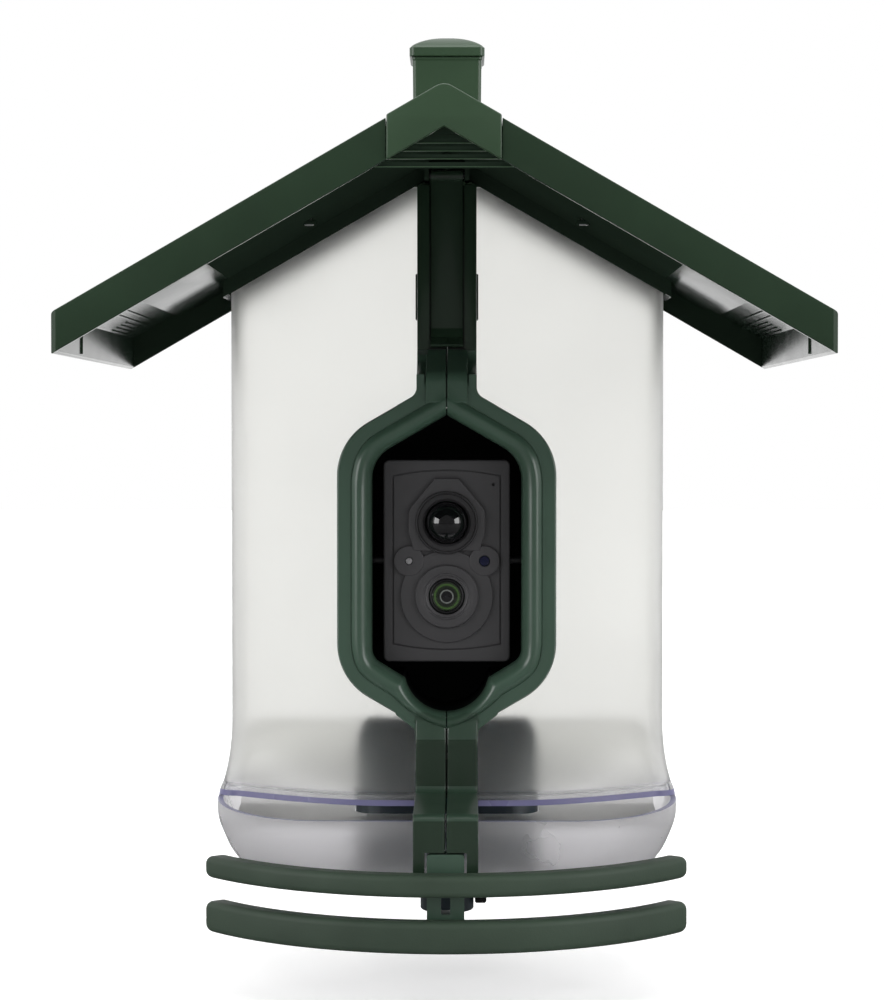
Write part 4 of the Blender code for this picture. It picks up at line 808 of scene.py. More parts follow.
def joinKeys(half, name, under):
    # thin blocks on the left half that reach to the seam: (depth, height) of both corners
    f = frameShape
    near = f["seam"] - 0.00004
    keys = (
        ((f["back"] - 0.0027, f["kneeFoot"] + 0.001), (f["back"] - 0.0005, f["top"] - 0.0004)),
        ((f["ringFront"] + 0.0040, f["openApex"] + 0.0030), (f["ringBack"] - 0.0012, f["kneeLow"])),
        ((f["ringFront"] + 0.0060, f["kneeFoot"] - 0.0020), (f["back"] - 0.0020, f["kneeFoot"] + 0.0030)),
        ((f["ringFront"] + 0.0022, under - 0.0180), (f["ringFront"] + 0.0040, under - 0.0060)),
        ((f["lowFront"] + 0.0120, f["armLow"] + 0.0008), (f["footBack"] - 0.0010, under - 0.0180)))
    for key, (low, high) in enumerate(keys):
        join(half, block(name + "Key%d" % key, (-past, *low), (near, *high)))


def makeFrameHalf(side):
    f = frameShape
    name = "frameRight" if side > 0 else "frameLeft"
    outer, inner = spread(ringOuter(), f["aroundSteps"]), spread(ringInner(), f["aroundSteps"])
    section = ringSection()
    rings = []
    for i, ((ox, oz), (ix, iz)) in enumerate(zip(outer, inner)):
        ends = i in (0, len(outer) - 1)
        rings.append([(side * (f["seam"] if ends else max(ox + (ix - ox) * share, f["seam"])), y,
                       oz + (iz - oz) * share) for share, y in section])
    half = loft(name, rings, finishes["ringGreen"])

    back = f["back"]
    under = f["lobeHeight"] - f["lobe"]
    legBack = f["armFront"] + f["leg"]
    low, high = between(side, f["seam"] + f["step"], f["columnHalf"])
    column = plate(name + "Column", [columnOutline()], "YZ", low, high, bevel=0.0005)
    low, high = between(side, f["seam"] + 2.0 * f["step"], f["kneeHalf"])
    kneePart = plate(name + "Knee", [kneeOutline()], "YZ", low, high, bevel=0.0004)
    low, high = between(side, f["seam"] + 3.0 * f["step"], f["lowHalf"])
    lowPart = plate(name + "Low", [armOutline(under, legBack)], "YZ", low, high, bevel=0.0005)
    near, far = between(side, f["columnHalf"] - past, f["columnHalf"] + f["padProud"])
    pad = block(name + "Pad", (near, f["columnFront"] + past, f["padLow"]),
                (far, back - past, f["padTop"]))
    soften(pad, 0.0004)
    settle(pad)
    join(half, column, kneePart, lowPart, pad)

    def ringTop(x):
        before = [point for point in outer if point[0] <= x and point[1] > f["stepHeight"] + 0.05]
        after = [point for point in outer if point[0] > x and point[1] > f["stepHeight"] + 0.05]
        (ax, az), (bx, bz) = max(before), min(after)
        return az + (bz - az) * (x - ax) / (bx - ax)

    root, tall = f["columnHalf"], f["filletReach"]
    slope = [(root - 0.003, ringTop(root) + tall, 0.0), (root, ringTop(root) + tall, 0.0),
             (root, ringTop(root), f["fillet"]), (root + tall, ringTop(root + tall), 0.0),
             (root + tall, ringTop(root + tall) - past, 0.0), (root - 0.003, ringTop(root) - 0.003, 0.0)]
    join(half, plate(name + "Fillet", [flip(roundCorners(slope, 10), side)], "XZ",
                     f["ringFront"] + 2.0 * f["step"], f["ringBack"] - 0.0006))
    out, rise = f["lowHalf"], f["stepHeight"] - f["apronFoot"]
    apron = roundCorners([(out - 0.004, f["stepHeight"] - 0.0030, 0.0),
                          (f["stepHalf"] - 0.0040, f["stepHeight"] + 0.0010, 0.0),
                          (f["stepHalf"] + 0.0001, f["stepHeight"], 0.0015),
                          (out + 0.0004, f["apronFoot"] + 0.0012, 0.0035),
                          (out, f["apronFoot"] - rise * 0.5, 0.0),
                          (out - 0.004, f["apronFoot"] - rise * 0.5, 0.0)], 10)
    join(half, plate(name + "Apron", [flip(apron, side)], "XZ",
                     f["ringFront"] + 3.0 * f["step"], f["ringFront"] + 0.0052))
    if side < 0:
        joinKeys(half, name, under)
        cut(half, block(name + "Nick", (f["nickOut"], f["ringFront"], f["nickLow"]),
                        (-f["channelHalf"] - 0.0004, f["columnFront"] + 0.0012, f["nickTop"])))

    low, high = between(side, -past, f["channelHalf"])
    channel = block(name + "Channel", (low, f["columnFront"] - past, f["channelLow"]),
                    (high, f["columnFront"] + f["channelDepth"], f["top"] + past))
    low, high = between(side, -past, f["notchHalf"])
    notch = block(name + "Notch", (low, f["armFront"] - past, f["legLow"] - past),
                  (high, legBack + past, f["notchTop"]))
    cut(half, channel, notch)
    for (height, depth), flank in ((f["upperScrew"], f["columnHalf"] + f["padProud"]),
                                   (f["lowerScrew"], f["lowHalf"])):
        ends = (-0.014, past) if side < 0 else (-past, 0.03)
        cut(half, rod(name + "Bore%d" % (height * 1000), f["screwBore"], (ends[0], depth, height),
                      (ends[1], depth, height), sides=24))
        if side > 0:
            sunk = flank - f["screwSink"]
            cut(half, rod(name + "Head%d" % (height * 1000), f["screwHead"],
                          (sunk + 0.00007, depth, height), (sunk + 0.01, depth, height), sides=31))
    settle(half, 32.0)
    # the column and the lower part are painted shade with the darker green, the lower column's front is a
    # painted half shade, and the arm's top keeps the lighter green as a painted highlight
    addFinish(half, "paintedShadeSatin", "paintedHalfShadeGreen")
    for face in half.data.polygons:
        armTopPaintedHighlight = face.normal.z > 0.2 and abs(face.center.z - f["armTop"]) < 0.004
        if not armTopPaintedHighlight and (face.center.z > f["kneeTop"] + 0.0002 or face.center.z < f["apronFoot"]):
            face.material_index = 1
        elif face.center.z < f["stepHeight"] - 0.0004 and face.center.y < f["ringFront"] + 0.0002:
            face.material_index = 2 if abs(face.center.x) < f["lowHalf"] + 0.0002 else 0
    seat(half, "front_frame_right" if side > 0 else "front_frame_left", "root")


# Perches

perch = {
    "radius": 0.1160, "front": -0.1030, "depth": 0.0090, "chord": 0.0910, "edge": 0.0024, "steps": 72,
    "bars": (("perchUpper", "perch_upper", 0.0309, 0.0082),
             ("perchLower", "perch_lower", 0.0140, 0.0117)),
}


def makePerches():
    centre = perch["front"] + perch["radius"]
    reach = math.asin(perch["chord"] / perch["radius"])
    for name, node, top, height in perch["bars"]:
        middle = top - height / 2.0
        section = roundBox(perch["depth"] / 2.0, height / 2.0, perch["edge"], (0.0, 0.0), 5)
        rings = []
        ends = [(0.0, 0.66), (0.0003, 0.78), (0.0009, 0.89), (0.0018, 0.965), (0.0030, 1.0)]
        distances = [d / perch["radius"] for d, _ in ends]
        turns = [(-reach + d, k) for d, (_, k) in zip(distances, ends)]
        turns += [(-reach + distances[-1] + (2.0 * reach - 2.0 * distances[-1]) * i / perch["steps"], 1.0)
                  for i in range(1, perch["steps"])]
        turns += [(reach - d, k) for d, (_, k) in reversed(list(zip(distances, ends)))]
        for turn, scale in turns:
            along = -math.pi / 2.0 + turn
            ring = []
            for a, b in section:
                radius = perch["radius"] - perch["depth"] / 2.0 + a * (1.0 - (1.0 - scale) * 0.6)
                ring.append((radius * math.cos(along), centre + radius * math.sin(along),
                             middle + b * scale))
            rings.append(ring)
        bar = loft(name, rings, finishes["grainGreen"])
        bore = perch["front"] + perch["depth"]
        cut(bar, rod(name + "Bore", screwHole, (0.0, bore + past, middle), (0.0, bore - 0.0045, middle),
                     sides=24))
        settle(bar)
        seat(bar, node, "perch")


# Camera

def bowedPanel(inset):
    # a tall panel whose top and foot bow outwards
    half, bow = camera["panelHalf"] - inset, camera["panelBow"]
    radius = (half * half + bow * bow) / (2.0 * bow)
    base = math.sqrt(radius * radius - half * half)
    xs = [half * (1.0 - i / 16.0) for i in range(33)]
    top = [(x, camera["height"] + camera["panelTop"] - inset + math.sqrt(radius * radius - x * x) - base)
           for x in xs]
    foot = [(-x, camera["height"] + camera["panelFoot"] + inset - math.sqrt(radius * radius - x * x)
             + base) for x in xs]
    return top + foot


def makeCameraFront():
    c = camera
    mid, front = c["height"], c["front"]
    outline = roundBox(c["halfWidth"], c["halfHeight"], c["corner"], (0.0, mid), 8)
    body = plate("cameraFront", [outline], "XZ", front, c["back"], finishes["plate"], bevel=0.0008,
                 bevelSteps=3)
    hump = roundCorners([
        (-c["humpTopHalf"], mid + c["humpTop"], 0.0008), (c["humpTopHalf"], mid + c["humpTop"], 0.0008),
        (c["humpHalf"], mid + c["humpShoulder"], 0.0060), (c["humpHalf"], mid + c["humpWaist"], 0.0050),
        (c["humpFootHalf"], mid + c["humpFoot"], 0.0), (-c["humpFootHalf"], mid + c["humpFoot"], 0.0),
        (-c["humpHalf"], mid + c["humpWaist"], 0.0050),
        (-c["humpHalf"], mid + c["humpShoulder"], 0.0060)], 10)
    raised = [plate("cameraHump", [hump], "XZ", front - c["humpHeight"], front + 0.0010, bevel=0.0004,
                    bevelSteps=3)]
    disc = arc((0.0, c["lensHeight"]), c["discRadius"], 0.0, 2.0 * math.pi, 96)[:-1]
    raised.append(plate("cameraDisc", [disc], "XZ", front - c["discHeight"], front + 0.0011, bevel=0.0004,
                        bevelSteps=3))
    for side in (-1, 1):
        window = arc((side * c["windowOut"], mid), c["windowRadius"], 0.0, 2.0 * math.pi, 56)[:-1]
        raised.append(plate("cameraWindow%d" % side, [window], "XZ", front - c["windowHeight"],
                            front + 0.0012 + side * 0.00005, bevel=0.0004, bevelSteps=3))
    join(body, *raised)
    room = plate("cameraRoom", [roundBox(c["halfWidth"] - c["wall"], c["halfHeight"] - c["wall"], 0.0012,
                                         (0.0, mid), 6)], "XZ", front + c["wall"], c["back"] + 0.001)
    groove = plate("cameraGroove", [bowedPanel(0.0), bowedPanel(c["groove"])], "XZ", front - 0.0001,
                   front + c["grooveDepth"])
    tools = [room]
    ahead, deep = front - 0.004, front + c["wall"] + 0.0005
    for x, z, radius in ((0.0, c["pirHeight"], c["pirRadius"]), (0.0, c["lensHeight"], c["barrelRadius"]),
                         (-c["windowOut"], mid, c["lightRadius"]),
                         (c["windowOut"], mid, c["statusRadius"])):
        tools.append(rod("cameraHole%d" % len(tools), radius + c["clear"], (x, ahead, z), (x, deep, z),
                         sides=64))
    tools.append(rod("cameraMic", c["micRadius"], (c["micOut"], ahead, c["micHeight"]),
                     (c["micOut"], front + 0.0012, c["micHeight"]), sides=20))
    reach = c["halfWidth"] + past
    tools.append(rod("cameraPins", c["pinBore"], (-reach, c["pivotBack"], mid),
                     (reach, c["pivotBack"], mid)))
    cut(body, *tools)
    settle(body, 30.0)
    cut(body, groove)
    settle(body, 30.0)
    seat(body, "camera_front_case", "camera")


# profiles of (radius, height) outside each ring's first edge
eyes = {
    "pirRing": ((0.0091, 0.0010), (0.0094, 0.0012), (0.0109, 0.0012), (0.0111, 0.0008), (0.0113, 0.0008),
                (0.0115, 0.0011), (0.0119, 0.0010), (0.0122, 0.0004), (0.0122, 0.0)),
    "lensRing": ((0.0078, 0.0003), (0.0081, 0.0005), (0.0084, 0.0003), (0.0088, 0.0004), (0.0092, 0.0008),
                 (0.0104, 0.0011), (0.0110, 0.0012), (0.0119, 0.0012), (0.0122, 0.0010), (0.0124, 0.0006),
                 (0.0124, 0.0)),
    "domeWall": 0.0010, "domeShare": 0.98, "barrelDepth": 0.0019, "crown": 0.0012, "glassThick": 0.0013,
}


def makeCameraEyes():
    c = camera
    toFront = (0, -1, 0)
    face = c["front"] - c["humpHeight"] - c["clear"]
    inner = c["pirRadius"] + c["clear"]
    ring = [(inner, 0.0), (inner, 0.0003), *eyes["pirRing"]]
    seat(turned("pirRing", ring, (0, face, c["pirHeight"]), toFront, finishes["softBlack"], 96, True),
         "pir_ring", "camera")
    r, wall, share = c["pirRadius"], eyes["domeWall"], eyes["domeShare"]
    turns = [math.pi / 2.0 * i / 20.0 for i in range(20, -1, -1)]
    low = -(c["wall"] + c["humpHeight"] - c["clear"])
    dome = [(r - wall, low), (r, low)] + [(r * math.sin(t), r * math.cos(t) * share) for t in turns]
    dome += [((r - wall) * math.sin(t), (r - wall) * math.cos(t) * share) for t in reversed(turns)]
    dome[-1] = (r - wall, 0.0)
    seat(turned("pirDome", dome, (0, c["front"] - c["humpHeight"], c["pirHeight"]), toFront,
                finishes["glass"], 96, True), "pir_dome", "camera")

    face = c["front"] - c["discHeight"] - c["clear"]
    inner = c["barrelRadius"] + c["clear"]
    ring = [(inner, 0.0), (inner, 0.0002), *eyes["lensRing"]]
    seat(turned("lensRing", ring, (0, face, c["lensHeight"]), toFront, finishes["plate"], 96, True),
         "lens_ring", "camera")
    glass = c["glassRadius"] + c["clear"]
    disc = -(c["front"] - c["discHeight"])
    floor = disc - eyes["barrelDepth"]
    barrel = [(0.0, disc - 0.0025), (0.0026, disc - 0.0025), (0.0029, disc - 0.0021),
              (0.0044, floor), (0.0047, floor), (glass, floor), (glass, disc),
              (0.0063, disc + 0.0001), (c["barrelRadius"] - 0.0002, disc),
              (c["barrelRadius"], disc - 0.0002), (c["barrelRadius"], -c["boardFace"]),
              (0.0, -c["boardFace"])]
    seat(turned("lensBarrel", barrel, (0, 0, c["lensHeight"]), toFront, finishes["black"], 96),
         "lens_barrel", "camera")
    r, crown, thick = c["glassRadius"], eyes["crown"], eyes["glassThick"]
    glass = [(0.0, crown)] + [(r * i / 14.0, crown * (1.0 - (i / 14.0) ** 2)) for i in range(1, 15)]
    glass += [(r, -thick), (0.0, -thick)]
    seat(turned("lensGlass", glass, (0, c["front"] - c["discHeight"], c["lensHeight"]), toFront,
                finishes["lens"], 96), "lens_glass", "camera")

    front = c["front"] - c["windowHeight"]
    for name, node, side, radius, finish, slotName in (
            ("lightWindow", "light_sensor_window", -1, c["lightRadius"], "window", "white_plastic"),
            ("statusWindow", "status_window", 1, c["statusRadius"], "blueGlass", "dark_glass")):
        profile = [(0.0, 0.0), (radius * 0.8, -0.00005), (radius, -0.0002), (radius, -c["windowDepth"]),
                   (0.0, -c["windowDepth"])]
        seat(turned(name, profile, (side * c["windowOut"], front, c["height"]), toFront, finishes[finish],
                    40), node, "camera")


def makePins():
    for name, node, body in (("pivotPinLeft", "pivot_pin_left", "root"),
                             ("pivotPinRight", "pivot_pin_right", "root"),
                             ("tonguePin", "tongue_pin", "roof")):
        low, high, middle = cadCorners(node)
        radius = (high.z - low.z) / 2.0
        length, chamfer = high.x - low.x, radius * 0.3
        profile = [(0.0, 0.0), (radius - chamfer, 0.0), (radius, chamfer), (radius, length * 0.3),
                   (radius * 0.88, length * 0.3 + 0.0001), (radius * 0.88, length * 0.36),
                   (radius, length * 0.36 + 0.0001), (radius, length - chamfer),
                   (radius - chamfer, length), (0.0, length)]
        pin = turned(name, profile, (low.x, middle.y, middle.z), (1.0, 0.0, 0.0), finishes["darkPin"], 40,
                     False, 30.0)
        seat(pin, node, body)


def makePocket():
    front, back = pocket["front"], pocket["back"]
    shell = plate("cameraPocket", [mirrored(pocketOutline(pocket["wall"]))], "XZ", front, back,
                  finishes["pit"])
    room = plate("pocketRoom", [mirrored(pocketOutline())], "XZ", front - 0.001, back - pocket["wall"])
    reach = pocket["half"] + pocket["wall"] + past
    pins = rod("pocketPins", camera["pinBore"], (-reach, camera["pivotBack"], camera["height"]),
               (reach, camera["pivotBack"], camera["height"]))
    cut(shell, room, pins)
    settle(shell)
    seat(shell, "camera_pocket", "root")


# Roof, chimney and louvre

roof = {
    "wall": 0.0019, "edge": 0.0015, "capStep": 0.0008, "capProud": 0.0010, "apexRound": 0.0055,
    "chimneyBase": 0.0133, "chimneyTop": 0.0139, "chimneyBack": 0.011, "chimneyRound": 0.0016,
    "chimneyHeight": 0.3382, "chimneyWall": 0.0020, "lidHalf": 0.01485, "lidRim": 0.0040,
    "lidDome": 0.0050, "lidRound": 0.0024, "plugDepth": 0.0050, "plugWall": 0.0016, "louvreHalf": 0.0270,
    "louvreFoot": 0.2772, "louvreThick": 0.0024, "louvrePitch": 0.0026, "louvreSlot": 0.0015,
    "louvreSlots": 4, "tongueHalf": 0.0064, "pinHeight": 0.2906, "pinBack": -0.0140, "pinRadius": 0.0012,
    "barrel": 0.0025, "tongueThick": 0.0020, "tongueFoot": 0.2232, "lipHeight": 0.0075,
    "lipReach": 0.0042, "cornerCut": 0.0017, "ribOut": 0.1195, "ribPair": 0.0030, "ribWide": 0.0008,
    "ribTall": 0.0006, "padNear": 0.1215, "padFront": -0.0420, "padBack": 0.0050, "padRibs": 5,
    "padPitch": 0.0017, "endRibBack": -0.1150, "lidReach": 0.1095, "lidFront": -0.1610,
    "lidThick": 0.0016, "skirtHalf": 0.0883, "skirtWall": 0.0022, "skirtFront": -0.0082,
    "skirtDrop": 0.0104, "earHalf": 0.0088, "earWall": 0.0018, "earFoot": 0.2884, "earFront": -0.0172,
    "notchWide": 0.0047, "notchLong": 0.0160, "slotLong": 0.0170, "slotWide": 0.0012, "slotAhead": 0.0085,
    "bossRadius": 0.0029, "bossLong": 0.0016, "bossOut": 0.0520, "bossRows": (-0.120, -0.046),
    "shineOut": 0.0860, "slatTall": 0.00030, "slatDeep": 0.0007, "slatShorter": 0.148,
}


def makeWing(side):
    r = roof
    inner, half, low = shared["capHalf"] + shared["gap"], shared["roofHalf"], shared["fascia"]
    name = "wingRight" if side > 0 else "wingLeft"
    near, wallIn = inner - 0.006, half - r["wall"]
    outer = roundCorners([(near, roofLine(near), 0.0), (half, roofLine(half), r["edge"]),
                          (half, roofLine(half, low), 0.0004), (near, roofLine(near, low), 0.0)], 6)
    room = roundCorners([(near - 0.003, roofLine(near - 0.003, shared["panelDrop"]), 0.0),
                         (wallIn, roofLine(wallIn, shared["panelDrop"]), r["edge"] * 0.5),
                         (wallIn, roofLine(wallIn, low + 0.004), 0.0),
                         (near - 0.003, roofLine(near - 0.003, low + 0.004), 0.0)], 6)
    wing = plate(name, [flip(outer, side)], "XZ", shared["roofFront"], shared["roofBack"],
                 finishes["roofGreen"], bevel=0.0006, bevelSteps=3)
    hollow = plate(name + "Room", [flip(room, side)], "XZ",
                   shared["roofFront"] + r["wall"], shared["roofBack"] - r["wall"])
    edges = between(side, 0.0, inner)
    end = block(name + "End", (edges[0], shared["roofFront"] - 0.003, roofLine(inner, low + 0.006)),
                (edges[1], shared["roofBack"] + 0.003, shared["ridge"] + past))
    cut(wing, hollow, end)
    nip, tall = r["cornerCut"], roofLine(half, low + 0.004)
    for depth, way in ((shared["roofFront"], 1.0), (shared["roofBack"], -1.0)):
        corner = [(side * (half - nip), depth - way * 0.001),
                  (side * (half + 0.001), depth - way * 0.001),
                  (side * (half + 0.001), depth + way * nip), (side * half, depth + way * nip),
                  (side * (half - nip), depth)]
        cut(wing, plate(name + "Corner%d" % way, [corner], "XY", tall, shared["ridge"]))
    under = shared["panelDrop"] - 0.0004
    x, wide = r["ribOut"], r["ribWide"]
    front, back = shared["roofFront"] + r["wall"] * 0.8, shared["roofBack"] - r["wall"] * 0.8
    strips = [(x, front, back), (x - r["ribPair"], front, back)]
    strips += [(r["padNear"] + r["padPitch"] * i, r["padFront"], r["padBack"])
               for i in range(r["padRibs"])]
    for i, (near, low, high) in enumerate(strips):
        section = [(side * near, roofLine(near, under)),
                   (side * (near + wide), roofLine(near + wide, under)),
                   (side * (near + wide * 0.8),
                    roofLine(near + wide * 0.8, under + r["ribTall"] + 0.0004)),
                   (side * (near + wide * 0.2),
                    roofLine(near + wide * 0.2, under + r["ribTall"] + 0.0004))]
        join(wing, plate(name + "Rib%d" % i, [section], "XZ", low, high))
    endWall = shared["roofHalf"] - r["wall"] + 0.0004
    low, high = between(side, endWall, endWall - r["ribTall"] - 0.0004)
    join(wing, block(name + "EndRib", (low, r["endRibBack"], roofLine(endWall, shared["fascia"] - 0.001)),
                     (high, r["endRibBack"] + wide, roofLine(endWall, under))))
    settle(wing)
    # undersides and inner walls take the glossier soffit finish; the rear fascia's inner face is painted
    # shade
    addFinish(wing, "soffit", "shade")
    for face in wing.data.polygons:
        inside = abs(face.center.x) < shared["roofHalf"] - r["wall"] * 0.9 and side * face.normal.x < -0.9
        if face.normal.z < -0.3 or inside:
            face.material_index = 1
        elif face.normal.y < -0.9 and face.center.y > 0.0:
            face.material_index = 2
    seat(wing, "roof_wing_right" if side > 0 else "roof_wing_left", "roof")


def makeRidgeCap():
    r = roof
    half, low = shared["capHalf"], shared["fascia"]

    def chevron(reach, under, over, apex):
        return roundCorners([(-reach, roofLine(reach, over), 0.0), (0.0, roofLine(0.0, over), apex),
                             (reach, roofLine(reach, over), 0.0), (reach, roofLine(reach, under), 0.0),
                             (0.0, roofLine(0.0, under), 0.0), (-reach, roofLine(reach, under), 0.0)], 12)

    cap = plate("ridgeCap", [chevron(half, low, -r["capStep"], r["apexRound"])], "XZ",
                shared["roofFront"] - r["capProud"], shared["roofBack"] + r["capProud"],
                finishes["green"], bevel=0.0005, bevelSteps=3)
    room = plate("ridgeCapRoom",
                 [chevron(half + past, low + 0.003, shared["panelDrop"], r["apexRound"] * 0.7)], "XZ",
                 shared["roofFront"] + r["wall"], shared["roofBack"] - r["wall"])
    cut(cap, room)
    settle(cap, 30.0)
    seat(cap, "ridge_cap", "roof")


def openTree(name, sockets, onMesh=False):
    # a tree with named inputs, and what it is given
    tree = bpy.data.node_groups.new(name, "GeometryNodeTree")
    inputs = list(sockets.items())
    if onMesh:
        inputs.insert(0, ("Geometry", "Geometry"))
    for label, kind in inputs:
        tree.interface.new_socket(name=label, in_out="INPUT", socket_type="NodeSocket" + kind)
    tree.interface.new_socket(name="Geometry", in_out="OUTPUT", socket_type="NodeSocketGeometry")
    wires = Wires(tree)
    return wires, wires.add("NodeGroupInput")


def closeTree(wires, copies, finish):
    # copies made real and given their finish
    real = wires.add("GeometryNodeRealizeInstances", {"Geometry": copies["Instances"]})["Geometry"]
    done = wires.add("GeometryNodeSetMaterial", {"Geometry": real, "Material": finish})["Geometry"]
    wires.add("NodeGroupOutput", {"Geometry": done})
    return wires.tree


def slatTree():
    # thin ledges one above the other, each shorter than the one below
    wires, given = openTree("slats", {"Count": "Int", "Start": "Vector", "Step": "Vector",
                                      "Size": "Vector", "Shorter": "Float", "Finish": "Material"})
    line = wires.add("GeometryNodeMeshLine", {
        "Count": given["Count"], "Start Location": given["Start"], "Offset": given["Step"]})["Mesh"]
    bar = wires.add("GeometryNodeMeshCube", {"Size": given["Size"]})["Mesh"]
    less = wires.reckon("MULTIPLY", wires.add("GeometryNodeInputIndex")["Index"], given["Shorter"])
    scale = wires.vector(X=wires.reckon("SUBTRACT", 1.0, less), Y=1.0, Z=1.0)
    copies = wires.add("GeometryNodeInstanceOnPoints", {"Points": line, "Instance": bar, "Scale": scale})
    return closeTree(wires, copies, given["Finish"])


def grow(name, tree, values, base=None):
    # runs a node tree on a mesh and keeps the result as a plain mesh
    thing = addObject(name, base or bpy.data.meshes.new(name))
    growth = thing.modifiers.new("growth", "NODES")
    growth.node_group = tree
    for item in tree.interface.items_tree:
        if item.item_type == "SOCKET" and item.in_out == "INPUT" and item.name in values:
            growth[item.identifier] = values[item.name]
    thing.update_tag()
    mesh = builtMesh(thing)
    thing.modifiers.clear()
    thing.data = smooth(mesh)
    return thing


def makeLid():
    r = roof
    half, back, front = r["lidReach"], shared["roofBack"] - r["wall"] - shared["gap"], r["lidFront"]
    high = shared["panelDrop"] + shared["gap"]
    under = high + r["lidThick"] / math.cos(math.radians(30.0))
    sunk = under - r["lidThick"] / 2.0

    def band(reach, top, foot):
        return [(reach, roofLine(reach, foot)), (0.0, roofLine(0.0, foot)),
                (-reach, roofLine(reach, foot)), (-reach, roofLine(reach, top)),
                (0.0, roofLine(0.0, top)), (reach, roofLine(reach, top))]

    # the lid is painted shade: dark and without reflection under the roof
    lid = plate("siloLid", [band(half, high, under)], "XZ", front, back, finishes["shade"], bevel=0.0003)
    skirt, wall, ahead = r["skirtHalf"], r["skirtWall"], r["skirtFront"]
    foot = r["skirtDrop"]
    join(lid, plate("lidSkirt", [band(skirt, sunk, foot)], "XZ", ahead, ahead + wall, bevel=0.0003))
    for side in (-1, 1):
        outer, inner = side * skirt, side * (skirt - wall)
        panel = [(inner, roofLine(inner, foot)), (outer, roofLine(outer, foot)),
                 (outer, roofLine(outer, sunk)), (inner, roofLine(inner, sunk))]
        join(lid, plate("lidSide%d" % side, [panel], "XZ", ahead + wall / 2.0, back))
        near, far = between(side, r["earHalf"], r["earHalf"] - r["earWall"])
        ear = roundCorners([(ahead + wall / 2.0, r["earFoot"], 0.0),
                            (r["earFront"], r["earFoot"], 0.0018),
                            (r["earFront"], roofLine(r["earHalf"], sunk), 0.0),
                            (ahead + wall / 2.0, roofLine(r["earHalf"], sunk), 0.0)], 8)
        join(lid, plate("lidEar%d" % side, [ear], "YZ", near, far))
        edges = between(side, half - r["notchWide"], half + past)
        notch = block("lidNotch%d" % side,
                      (edges[0], back - r["notchLong"], roofLine(half, under + past)),
                      (edges[1], back + past, roofLine(half - r["notchWide"], -past)))
        cut(lid, notch)
        edges = between(side, skirt + 0.0005, skirt + 0.0005 + r["slotLong"])
        slotY = ahead - r["slotAhead"]
        slot = block("lidSlot%d" % side,
                     (edges[0], slotY, roofLine(skirt + r["slotLong"], under + past)),
                     (edges[1], slotY + r["slotWide"], roofLine(skirt, 0.0)))
        cut(lid, slot)
        for row, y in enumerate(r["bossRows"]):
            place = (side * r["bossOut"], y)
            low = roofLine(r["bossOut"], under) - r["bossLong"]
            top = roofLine(r["bossOut"] + r["bossRadius"], high + 0.0003)
            boss = rod("lidBoss%d%d" % (side, row), r["bossRadius"], (*place, low), (*place, top),
                       sides=40)
            soften(boss, 0.0003)
            settle(boss)
            join(lid, boss)
            head = rod("lidSeat%d%d" % (side, row), headHole, (*place, low - 0.001),
                       (*place, low + 0.0014), sides=32)
            bore = rod("lidBore%d%d" % (side, row), screwHole, (*place, low), (*place, top + 0.004),
                       sides=24)
            cut(lid, head, bore)
    cut(lid, rod("lidPinHole", r["pinRadius"] + shared["gap"], (-0.011, r["pinBack"], r["pinHeight"]),
                 (0.011, r["pinBack"], r["pinHeight"])))
    settle(lid)
    work = bmesh.new()
    work.from_mesh(lid.data)
    for side in (-1.0, 1.0):
        bmesh.ops.bisect_plane(work, geom=work.verts[:] + work.edges[:] + work.faces[:],
                               plane_co=(side * r["shineOut"], 0.0, 0.0), plane_no=(1.0, 0.0, 0.0))
    work.to_mesh(lid.data)
    work.free()
    # undersides outside shineOut take the glossier soffit finish; the rest keeps the painted shade
    addFinish(lid, "soffit")
    for face in lid.data.polygons:
        if face.normal.z < -0.5 and abs(face.center.x) > r["shineOut"]:
            face.material_index = 1
    seat(lid, "silo_lid", "roof")


def makeLouvre():
    r = roof
    front = shared["roofFront"] + r["wall"] + shared["gap"]
    half, foot, pitch = r["louvreHalf"], r["louvreFoot"], r["louvrePitch"]
    drop = shared["panelDrop"] + shared["gap"] + 0.0001
    outline = roundCorners([(half, foot, 0.0), (half, roofLine(half, drop), 0.0),
                            (0.0, roofLine(0.0, drop), 0.008), (-half, roofLine(half, drop), 0.0),
                            (-half, foot, 0.0)], 8)
    # the board is painted shade: dark and without reflection under the roof's edge
    board = plate("gableLouvre", [outline], "XZ", front + 0.0005, front + r["louvreThick"],
                  finishes["shade"], bevel=0.0002, bevelSteps=1)
    for i in range(r["louvreSlots"]):
        middle = foot + pitch * (i + 1)
        reach = min((roofLine(0.0, shared["panelDrop"]) - middle) / shared["slope"],
                    half + pitch) - pitch * 2.0
        cut(board, block("louvreSlot%d" % i, (-reach, front - 0.003, middle - r["louvreSlot"] / 2.0),
                         (reach, front + 0.006, middle + r["louvreSlot"] / 2.0)))
    settle(board)
    seat(board, "gable_louvre", "roof")
    tall, deep = r["slatTall"], r["slatDeep"]
    slats = grow("louvreSlats", slatTree(), {
        "Count": r["louvreSlots"], "Start": (0.0, front + deep / 2.0, foot + tall / 2.0 + 0.0002),
        "Step": (0.0, 0.0, pitch), "Size": (half * 2.0 - 0.0008, deep, tall), "Shorter": r["slatShorter"],
        "Finish": finishes["green"]})
    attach(slats, "roof")


